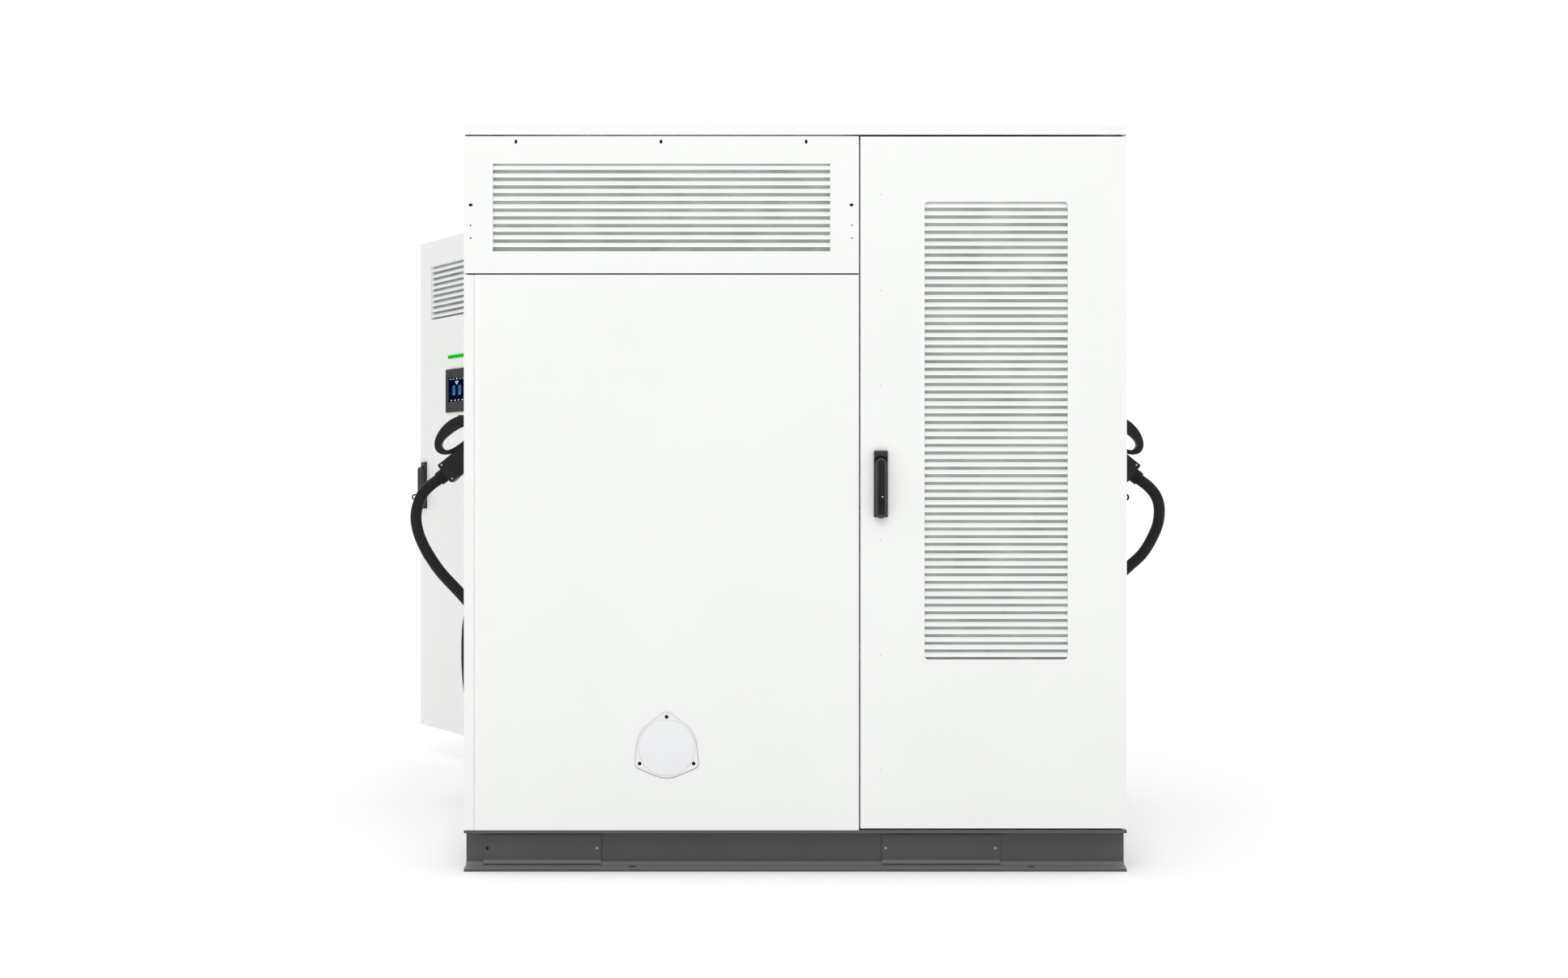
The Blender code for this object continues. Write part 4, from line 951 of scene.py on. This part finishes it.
def rod_guides(door, frame, x):
    """Brackets that guide the lock rods, and the heads of their studs on the door's face."""
    guides, studs = [], []
    back = FACE - SHEET
    for z in ROD_GUIDES:
        for side in (-1, 1):
            inner, outer = sorted((x + side * 0.0075, x + side * 0.0105))
            guides.append(block((inner, back - 0.0290, z - 0.011), (outer, back, z + 0.011)))
            flange = sorted((x + side * 0.0105, x + side * 0.024))
            guides.append(block((flange[0], back - 0.0030, z - 0.011), (flange[1], back, z + 0.011)))
        guides.append(block((x - 0.0105, back - 0.0310, z - 0.011), (x + 0.0105, back - 0.0285, z + 0.011)))
        stud = capped([(0.0014, 0.0005), (0.0019, 0)], 14)
        studs.append(placed(stud, frame @ pointing((x, FACE, z), (0, 1, 0))))
    piece(door + "_rod_guides", placed(guides, frame), "black_plastic", door + "_door", bevel=0.0006)
    piece(door + "_guide_studs", studs, "steel_screw", door + "_door")


# --- Front door ---

DISPLAY_CENTRE = (0.734, 1.5345)
SCREEN_SIZE = (0.178, 0.104)


def screen_layout(frame):
    """A generic charging screen: a header, two battery outlines and a row of marks, without lettering."""
    cx, cz = DISPLAY_CENTRE[0], DISPLAY_CENTRE[1] + 0.003
    glass = FACE + 0.0050
    width, height = SCREEN_SIZE

    def tile(x, z, half_x, half_z, radius, lift=0.0003):
        low = (cx + x - half_x, cz + z - half_z)
        high = (cx + x + half_x, cz + z + half_z)
        return prism(rounded_rectangle(low, high, radius, 3), "Y", glass, glass + lift)

    back = tile(0, 0, width / 2 - 0.003, height / 2 - 0.003, 0.001, 0.0002)
    piece("screen_background", placed(back, frame), "screen_blue", "front_door")
    icons = []
    for x in (-0.032, 0.032):
        icons += [tile(x, -0.004, 0.0145, 0.0185, 0.004), tile(x, 0.0165, 0.007, 0.0018, 0.001)]
    piece("screen_icons", placed(icons, frame), "screen_panel", "front_door")
    levels = [tile(x, -0.001, 0.0105, 0.0125, 0.003, 0.0005) for x in (-0.032, 0.032)]
    piece("screen_icon_fields", placed(levels, frame), "screen_level", "front_door")
    marks = [tile(0, 0.0445, 0.006, 0.0032, 0.003)]
    marks += [tile(x, 0.0435, 0.0075, 0.0012, 0.0006) for x in (-0.068, -0.036, 0.036, 0.068)]
    header = ((0.0330, 0.0175), (0.0280, 0.0130), (0.0232, 0.0060))
    marks += [tile(0, z, half, 0.0016, 0.0008) for z, half in header]
    marks += [tile(x, -0.0435, 0.0062, 0.0024, 0.0010) for x in (-0.060, -0.020, 0.020, 0.060)]
    piece("screen_marks", placed(marks, frame), "screen_white", "front_door")


def front_door_inside(frame):
    """Stiffeners, a document pocket, and the display's loom on its saddles."""
    back = FACE - SHEET
    stiffeners = []
    for x in (0.075, 1.035):
        half = [(0.010, -0.020), (0.010, -0.002), (0.018, -0.002), (0.018, 0)]
        outline = [(-dx, dy) for dx, dy in half[::-1]] + half
        points = [(x + dx, back - 0.0003 + dy) for dx, dy in outline]
        stiffeners.append(prism(points, "Z", 0.170, 1.800))
    hats = placed(stiffeners, frame)
    piece("front_door_stiffeners", hats, "white_steel", "front_door", bevel=0.0008)
    pocket = [
        block((0.330, back - 0.022, 0.560), (0.720, back - 0.019, 0.800)),
        block((0.330, back - 0.022, 0.560), (0.334, back - 0.0004, 0.830)),
        block((0.716, back - 0.022, 0.560), (0.720, back - 0.0004, 0.830)),
        block((0.330, back - 0.022, 0.560), (0.720, back - 0.0004, 0.564)),
    ]
    piece("document_pocket", placed(pocket, frame), "module_grey", "front_door", bevel=0.0008)
    cx, cz = DISPLAY_CENTRE
    knots = [(cx - 0.075, back - 0.012, cz - 0.078), (cx - 0.085, back - 0.012, cz - 0.20)]
    knots += [(cx - 0.20, back - 0.010, cz - 0.30), (0.200, back - 0.010, cz - 0.34)]
    knots += [(0.105, back - 0.010, cz - 0.35)]
    loom = tube(smooth_path(knots, 8), 0.0055, 12)
    piece("display_loom", placed(loom, frame), "black_rubber", "front_door")
    saddles = []
    for x, low, high in ((0.150, 0.350, 0.330), (0.300, 0.350, 0.330), (0.470, 0.310, 0.292)):
        saddles.append(block((x - 0.003, back - 0.018, cz - low), (x + 0.003, back - 0.0004, cz - high)))
    piece("loom_saddles", placed(saddles, frame), "black_plastic", "front_door", bevel=0.0005)


# --- Charging connectors and cables ---


CONTACTS = (  # y, z and radius
    (0.011, 0.012, 0.0042),
    (-0.011, 0.012, 0.0042),
    (0.0115, -0.013, 0.0058),
    (-0.0115, -0.013, 0.0058),
    (0, 0.0225, 0.0028),
)


def connector_detail(prefix, side):
    """A connector's clamp collar with its screws, strain relief, nose ring and contacts."""
    frame = grip_frame(side)
    body = prefix + "_connector"
    outline = [(0.0305, -0.036), (0.0335, -0.0405), (0.058, -0.0405), (0.061, -0.0375)]
    outline += [(0.061, 0.0375), (0.058, 0.0410), (0.0335, 0.0410), (0.0305, 0.036)]
    collar = prism(outline, "Y", -0.0352, 0.0352)
    piece(prefix + "_clamp_collar", placed(collar, frame), "black_plastic", body, bevel=0.002)
    screws = []
    for z in (-0.0315, 0.0315):
        for sign in (-1, 1):
            at = frame @ pointing((0.0445, sign * 0.0352, z), (0, sign, 0))
            screws.append(placed(button_head(0.0036, 0.0020), at))
    piece(prefix + "_collar_screws", screws, "steel_screw", body)
    sleeve = [turned([(0.0235, 0), (0.0252, 0.001), (0.0258, 0.0300), (0.0235, 0.0300)], 36)]
    for i in range(3):
        rib = turned([(0.0250, 0), (0.0266, 0.0006), (0.0266, 0.0026), (0.0250, 0.0032)], 36)
        sleeve.append(placed(rib, Matrix.Translation((0, 0, 0.006 + 0.007 * i))))
    at = frame @ pointing((0.0002, 0, 0), (1, 0, 0))
    piece(prefix + "_strain_relief", placed(sleeve, at), "black_rubber", body)
    ring = turned([(0.0352, 0), (0.0366, 0.0015), (0.0366, 0.0055), (0.0352, 0.007)], 40)
    at = frame @ pointing((0.2065, 0, 0), (1, 0, 0))
    piece(prefix + "_nose_ring", placed(ring, at), "black_plastic", body)
    contacts = []
    for y, z, radius in CONTACTS:
        barrel = ring_shape(radius * 0.62, radius, 0, 0.022, 20)
        contacts.append(placed(barrel, frame @ pointing((0.2616, y, z), (1, 0, 0))))
    piece(prefix + "_contacts", contacts, "bare_steel", body)


# Knots of the cables: X and Z from each connector down, then X, Y and Z of the loop that both share
LEFT_DROOP = (
    (1.3190, 1.1390), (1.3510, 1.0980), (1.3672, 1.0230), (1.3455, 0.9364),
    (1.2828, 0.8341), (1.1928, 0.7349), (1.1160, 0.6400), (1.0780, 0.5400),
)
RIGHT_DROOP = (
    (1.3220, 1.1350), (1.3480, 1.0980), (1.3572, 1.0500), (1.3459, 0.9848),
    (1.3000, 0.9000), (1.2390, 0.8407), (1.1500, 0.7550), (1.0850, 0.6100),
)
LOW_LOOP = (
    (1.066, 0.600, 0.430), (1.064, 0.592, 0.300), (1.068, 0.562, 0.195),
    (1.080, 0.492, 0.142), (1.100, 0.420, 0.190), (1.118, 0.386, 0.300),
    (1.1385, 0.373, 0.412), (1.1465, 0.370, 0.540), (1.1385, 0.370, 0.674),
    (1.098, 0.370, 0.790), (1.040, 0.370, 0.843),
)


def cable(prefix, side, droop):
    """The cable sheath, a fixed tube from its connector down to the outlet."""
    across, down = math.cos(CONNECTOR_LEAN), math.sin(CONNECTOR_LEAN)
    start = (CONNECTOR[0] - 0.004 * across, CONNECTOR[2] + 0.004 * down)
    knots = [(x, CONNECTOR[1], z) for x, z in (start, *droop)]
    knots += [*LOW_LOOP, (HALF_WIDTH + 0.001, *OUTLET)]
    path = smooth_path([(side * x, y, z) for x, y, z in knots], 10)
    jacket = tube(path, CABLE_RADIUS, 28, (side * across, 0, -down), (-side, 0, 0))
    obj = piece(prefix + "_cable_sheath", jacket, "black_rubber", None, smooth=60)
    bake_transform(obj)
    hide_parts(prefix + "_cable")


def cable_gland(prefix, side):
    """The flange, hexagon and clamping nut where the cable leaves the cabinet."""
    at = pointing((side * HALF_WIDTH, *OUTLET), (side, 0, 0))
    sections = (
        (40, [(0.040, 0), (0.040, 0.0025), (0.038, 0.004)]),
        (6, [(0.0335, 0.004), (0.0335, 0.017), (0.031, 0.0185)]),
        (36, [(0.029, 0.019), (0.0295, 0.021), (0.0285, 0.033), (0.024, 0.038)]),
    )
    rings = []
    for sides, profile in sections:
        low, high = profile[0][1], profile[-1][1]
        rings.append(turned([(CABLE_RADIUS, low), *profile, (CABLE_RADIUS, high)], sides))
    piece(prefix + "_cable_gland", placed(rings, at), "black_plastic")


HOLSTER_Z = (1.205, 1.525)


def holster_detail(prefix, side):
    """The holster's wall flange with its screws."""
    near, far = HALF_WIDTH + 0.0002, HALF_WIDTH + 0.0032
    z_low, z_high = HOLSTER_Z
    y_low, y_high = CONNECTOR[1] - 0.075, CONNECTOR[1] + 0.075
    outline = rounded_rectangle((y_low, z_low), (y_high, z_high), 0.012, 5)
    flange = prism(outline, "X", *sorted((side * near, side * far)))
    piece(prefix + "_holster_flange", flange, "black_plastic", bevel=0.0008)
    screws = []
    for y in (y_low + 0.0065, y_high - 0.0065):
        for z in (z_low + 0.014, z_high - 0.014):
            screws.append(placed(button_head(0.0042, 0.0026), pointing((side * far, y, z), (side, 0, 0))))
    piece(prefix + "_holster_screws", screws, "steel_screw")


# --- Insides ---

PACK_X = -0.400
PACK_FRONT = 0.740
PACK_BOTTOM = 0.205
PACK_PITCH = 0.330
PACK_COUNT = 4
PACK_FACE = PACK_FRONT + 0.004  # front of the cast end plates
PLUG_X = (0.165, 0.245)  # from a pack's middle
COOLANT_X = (-0.245, -0.185)
PORT_RISE = 0.100  # of the ports and plugs above a pack's foot


def pack_end(label, low):
    """The cast end plate and the two grips of a battery pack whose foot is at a height."""
    outline = rounded_rectangle((PACK_X - 0.385, low + 0.018), (PACK_X + 0.385, low + 0.186), 0.010)
    plate = prism(outline, "Y", PACK_FRONT, PACK_FACE)
    piece(label + "_end_plate", plate, "cast_alloy_and_shade_grey", bevel=0.0012)
    grips = []
    for x in (PACK_X - 0.330, PACK_X + 0.330):
        near, far = PACK_FRONT + 0.003, PACK_FRONT + 0.026
        knots = [(x, near, low + 0.055), (x, far, low + 0.066), (x, far, low + 0.139), (x, near, low + 0.150)]
        grips.append(tube(smooth_path(knots, 6), 0.0050, 12))
    piece(label + "_grips", grips, "black_plastic")


def pack_connections(label, low):
    """The power plugs, data plug and coolant ports on a battery pack's end."""
    plugs = []
    for x in (PACK_X + PLUG_X[0], PACK_X + PLUG_X[1]):
        plugs.append(block((x - 0.026, PACK_FACE, low + 0.070), (x + 0.026, PACK_FRONT + 0.042, low + 0.130)))
    piece(label + "_power_plugs", plugs, "orange_cable", bevel=0.005)
    data = block((PACK_X - 0.020, PACK_FACE, low + 0.085), (PACK_X + 0.045, PACK_FRONT + 0.022, low + 0.115))
    piece(label + "_data_plug", data, "black_plastic", bevel=0.003)
    ports = []
    for x in COOLANT_X:
        at = pointing((PACK_X + x, PACK_FACE, low + PORT_RISE), (0, 1, 0))
        profile = [(0.009, 0.024), (0.011, 0.021), (0.011, 0.008), (0.016, 0.008), (0.016, 0)]
        ports.append(placed(capped(profile, 24), at))
    piece(label + "_coolant_ports", ports, "bare_steel")


def pack_fronts():
    """Everything on the battery packs' ends."""
    for i in range(PACK_COUNT):
        low = PACK_BOTTOM + i * PACK_PITCH
        label = f"pack_{i + 1}"
        pack_end(label, low)
        pack_connections(label, low)


def pack_links():
    """Orange power links between the packs and black coolant manifolds."""
    links = []
    for i in range(PACK_COUNT):
        low = PACK_BOTTOM + i * PACK_PITCH + PORT_RISE
        x = PACK_X + PLUG_X[1 - i % 2]
        rise, end = (PACK_PITCH, 0.040) if i < PACK_COUNT - 1 else (0.250, 0.010)
        knots = [(x, PACK_FRONT + 0.040, low), (x, PACK_FRONT + 0.064, low + 0.045)]
        knots += [(x, PACK_FRONT + 0.066, low + rise - 0.045), (x, PACK_FRONT + end, low + rise)]
        links.append(tube(smooth_path(knots, 8), 0.0085, 14))
    piece("battery_power_links", links, "orange_cable")
    pipes = []
    for x in COOLANT_X:
        path = [Vector((PACK_X + x, PACK_FRONT + 0.040, z)) for z in (0.150, 0.60, 1.10, 1.380)]
        pipes.append(tube(path, 0.013, 20))
    piece("coolant_manifolds", pipes, "black_rubber")


def high_voltage_detail():
    """The covers, their screws and the isolator's plate on the box above the packs."""
    low = PACK_BOTTOM + PACK_COUNT * PACK_PITCH
    face = PACK_FRONT + 0.002
    plates = []
    for left, right in ((-0.395, -0.060), (0.060, 0.395)):
        outline = rounded_rectangle((PACK_X + left, low + 0.012), (PACK_X + right, low + 0.168), 0.008)
        plates.append(prism(outline, "Y", PACK_FRONT, face))
    piece("high_voltage_covers", plates, "cast_alloy_and_shade_grey", bevel=0.0008)
    screws = []
    for x in (-0.380, -0.230, -0.080, 0.080, 0.230, 0.380):
        for z in (0.024, 0.156):
            at = pointing((PACK_X + x, face, low + z), (0, 1, 0))
            screws.append(placed(button_head(0.0040, 0.0024), at))
    piece("high_voltage_screws", screws, "black_screw_and_shadow")
    ring = ring_shape(0.0365, 0.048, 0.0005, 0.003, 40)
    at = pointing((PACK_X, PACK_FRONT, low + 0.090), (0, 1, 0))
    piece("isolator_plate", placed(ring, at), "yellow_plastic", bevel=0.0006)


MODULE_FRONT = -0.700
MODULE_Z = (0.650, 1.310)  # foot of each bank
MODULE_HEIGHT = 0.600
MODULES_PER_BANK = 4


def module_fronts():
    """Grilles, grips, lamps and plugs on the power modules' faces."""
    step = MODULE_HEIGHT / MODULES_PER_BANK
    lamps = []
    for bank, bottom in enumerate(MODULE_Z):
        grilles, grips, plugs = [], [], []
        for i in range(MODULES_PER_BANK):
            low = bottom + i * step + 0.006
            high = low + step - 0.012
            for left in (0.395, 0.560):
                outline = rounded_rectangle((left, low + 0.020), (left + 0.150, high - 0.020), 0.006)
                grilles.append(prism(outline, "Y", MODULE_FRONT - 0.0014, MODULE_FRONT))
            for x in (0.362, 0.818):
                knots = [(x, MODULE_FRONT, low + 0.030), (x, MODULE_FRONT - 0.026, low + 0.040)]
                knots += [(x, MODULE_FRONT - 0.026, high - 0.040), (x, MODULE_FRONT, high - 0.030)]
                grips.append(tube(smooth_path(knots, 6), 0.0048, 12))
            corner = (0.738, MODULE_FRONT - 0.016, low + 0.030)
            plugs.append(block(corner, (0.788, MODULE_FRONT, low + 0.075)))
            for k in range(3):
                lamp = turned([(TOP_RING, 0.0016), (0.0016, 0.0014), (0.0022, 0.0004), (0.0022, 0)], 12)
                at = pointing((0.745 + 0.012 * k, MODULE_FRONT, high - 0.028), (0, -1, 0))
                lamps.append(placed(lamp, at))
        label = f"module_bank_{bank + 1}"
        piece(label + "_grilles", grilles, "module_grille", bevel=0.0005)
        piece(label + "_grips", grips, "bare_steel")
        piece(label + "_plugs", plugs, "black_plastic", bevel=0.002)
    piece("module_lamps", lamps, "green_light")


BREAKERS_X = (0.330, 0.520, 0.710)


def switchgear():
    """Mounting plate, breakers, busbars and supply cables in the foot of the power bay."""
    plate = block((0.300, -0.560, 0.160), (0.880, -0.556, 0.600))
    piece("switchgear_plate", plate, "zinc", bevel=0.0008)
    cases, toggles = [], []
    for x in BREAKERS_X:
        cases.append(block((x, -0.655, 0.290), (x + 0.140, -0.5602, 0.520)))
        cases.append(block((x + 0.030, -0.668, 0.350), (x + 0.110, -0.650, 0.460)))
        toggles.append(block((x + 0.056, -0.690, 0.395), (x + 0.084, -0.6675, 0.440)))
    piece("main_breakers", cases, "black_plastic", bevel=0.003)
    piece("breaker_toggles", toggles, "cast_alloy_and_shade_grey", bevel=0.002)
    bars = []
    for x in BREAKERS_X:
        for offset in (0.015, 0.060, 0.105):
            bars.append(block((x + offset, -0.612, 0.515), (x + offset + 0.020, -0.606, 0.625)))
    piece("busbars", bars, "copper", bevel=0.001)
    cables = []
    for i in range(6):
        x = 0.365 + 0.092 * i
        foot = x * 0.9 + 0.05
        knots = [(x, -0.610, 0.292), (x, -0.618, 0.230), (foot, -0.640, 0.150), (foot, -0.640, 0.126)]
        cables.append(tube(smooth_path(knots, 8), 0.012, 16))
    piece("supply_cables", cables, "black_rubber")


# --- Studio ---


FLOOR_COLOUR = (0.86, 0.86, 0.86)
FLOOR_GLOW = (0.180, 0.60)  # close to the object, and far away
FLOOR_GLOW_REACH = (3.5, 14.0)  # metres from the middle where the glow starts to grow and stops
SKY_LEVEL = (0.64, 0.715)  # at the horizon, and what is added overhead
LIGHTS = (
    ("key_light", (-1.0, -9.0, 8.5), (0, 0, 1.1), (8.0, 5.0), 253),
    ("front_light", (-2.5, 9.0, 3.0), (0, 0, 1.1), (5.0, 3.0), 107),
)


def surroundings():
    """White to the camera. The light it sheds grows from the horizon to overhead."""
    world = bpy.data.worlds.new("soft_studio")
    world.use_nodes = True
    nodes = world.node_tree.nodes
    seen = nodes["Background"]
    seen.inputs["Color"].default_value = (1, 1, 1, 1)
    seen.inputs["Strength"].default_value = 1.1
    shed = nodes.new("ShaderNodeBackground")
    place = nodes.new("ShaderNodeTexCoord")
    split = nodes.new("ShaderNodeSeparateXYZ")
    level = nodes.new("ShaderNodeMath")
    level.operation = "MULTIPLY_ADD"
    level.inputs[1].default_value = SKY_LEVEL[1]
    level.inputs[2].default_value = SKY_LEVEL[0]
    feed(split, "Vector", place.outputs["Generated"])
    feed(level, 0, split.outputs["Z"])
    feed(shed, "Strength", level.outputs["Value"])
    path = nodes.new("ShaderNodeLightPath")
    choose = nodes.new("ShaderNodeMixShader")
    feed(choose, "Fac", path.outputs["Is Camera Ray"])
    feed(choose, 1, shed.outputs["Background"])
    feed(choose, 2, seen.outputs["Background"])
    feed(nodes["World Output"], "Surface", choose.outputs["Shader"])
    return world


def lay_floor():
    """A pale floor, just under the base."""
    floor = bpy.data.meshes.new("floor")
    shape = bmesh.new()
    bmesh.ops.create_grid(shape, x_segments=1, y_segments=1, size=60)
    shape.to_mesh(floor)
    shape.free()
    floor.materials.append(ground_material())
    ground = bpy.data.objects.new("floor", floor)
    ground.location.z = -0.0005
    SCENE.collection.objects.link(ground)


def hang_lights():
    """Two large soft lights, each turned to its target."""
    for name, at, target, size, watts in LIGHTS:
        light = bpy.data.lights.new(name, "AREA")
        light.shape = "RECTANGLE"
        light.size, light.size_y = size
        light.energy = watts
        lamp = bpy.data.objects.new(name, light)
        lamp.location = at
        lamp.rotation_euler = (Vector(target) - Vector(at)).to_track_quat("-Z", "Y").to_euler()
        SCENE.collection.objects.link(lamp)


def set_camera():
    """The camera, level and square to the rear face."""
    data = bpy.data.cameras.new("camera")
    data.lens = LENS_MM
    data.sensor_width = 36.0
    data.shift_x, data.shift_y = CAMERA_SHIFT
    data.clip_end = 200
    camera = bpy.data.objects.new("camera", data)
    camera.location = CAMERA
    camera.rotation_euler = (math.radians(90), 0, 0)
    SCENE.collection.objects.link(camera)
    SCENE.camera = camera
    SCENE.view_settings.view_transform = "Standard"


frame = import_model()
MATERIALS.update(make_materials())
frames = door_frames(frame["joints"])

dress_frame(frame["nodes"])
front_fork_covers()
cover_edges()
cover_bolts()
vent_panel_detail()
round_cover_detail()
roof_detail()
gaskets()
stop_button_collar()
filters(frames)
for door, (door_frame, handle_x, handle_z) in frames.items():
    lever_detail(door, door_frame, handle_x, handle_z)
    pan_detail(door, door_frame, handle_x, handle_z)
    if door != "side":
        rod_guides(door, door_frame, handle_x)
screen_layout(frames["front"][0])
front_door_inside(frames["front"][0])
for prefix, side, droop in (("left", -1, LEFT_DROOP), ("right", 1, RIGHT_DROOP)):
    connector_detail(prefix, side)
    cable(prefix, side, droop)
    cable_gland(prefix, side)
    holster_detail(prefix, side)
pack_fronts()
pack_links()
high_voltage_detail()
module_fronts()
switchgear()
lay_floor()
SCENE.world = surroundings()
hang_lights()
set_camera()
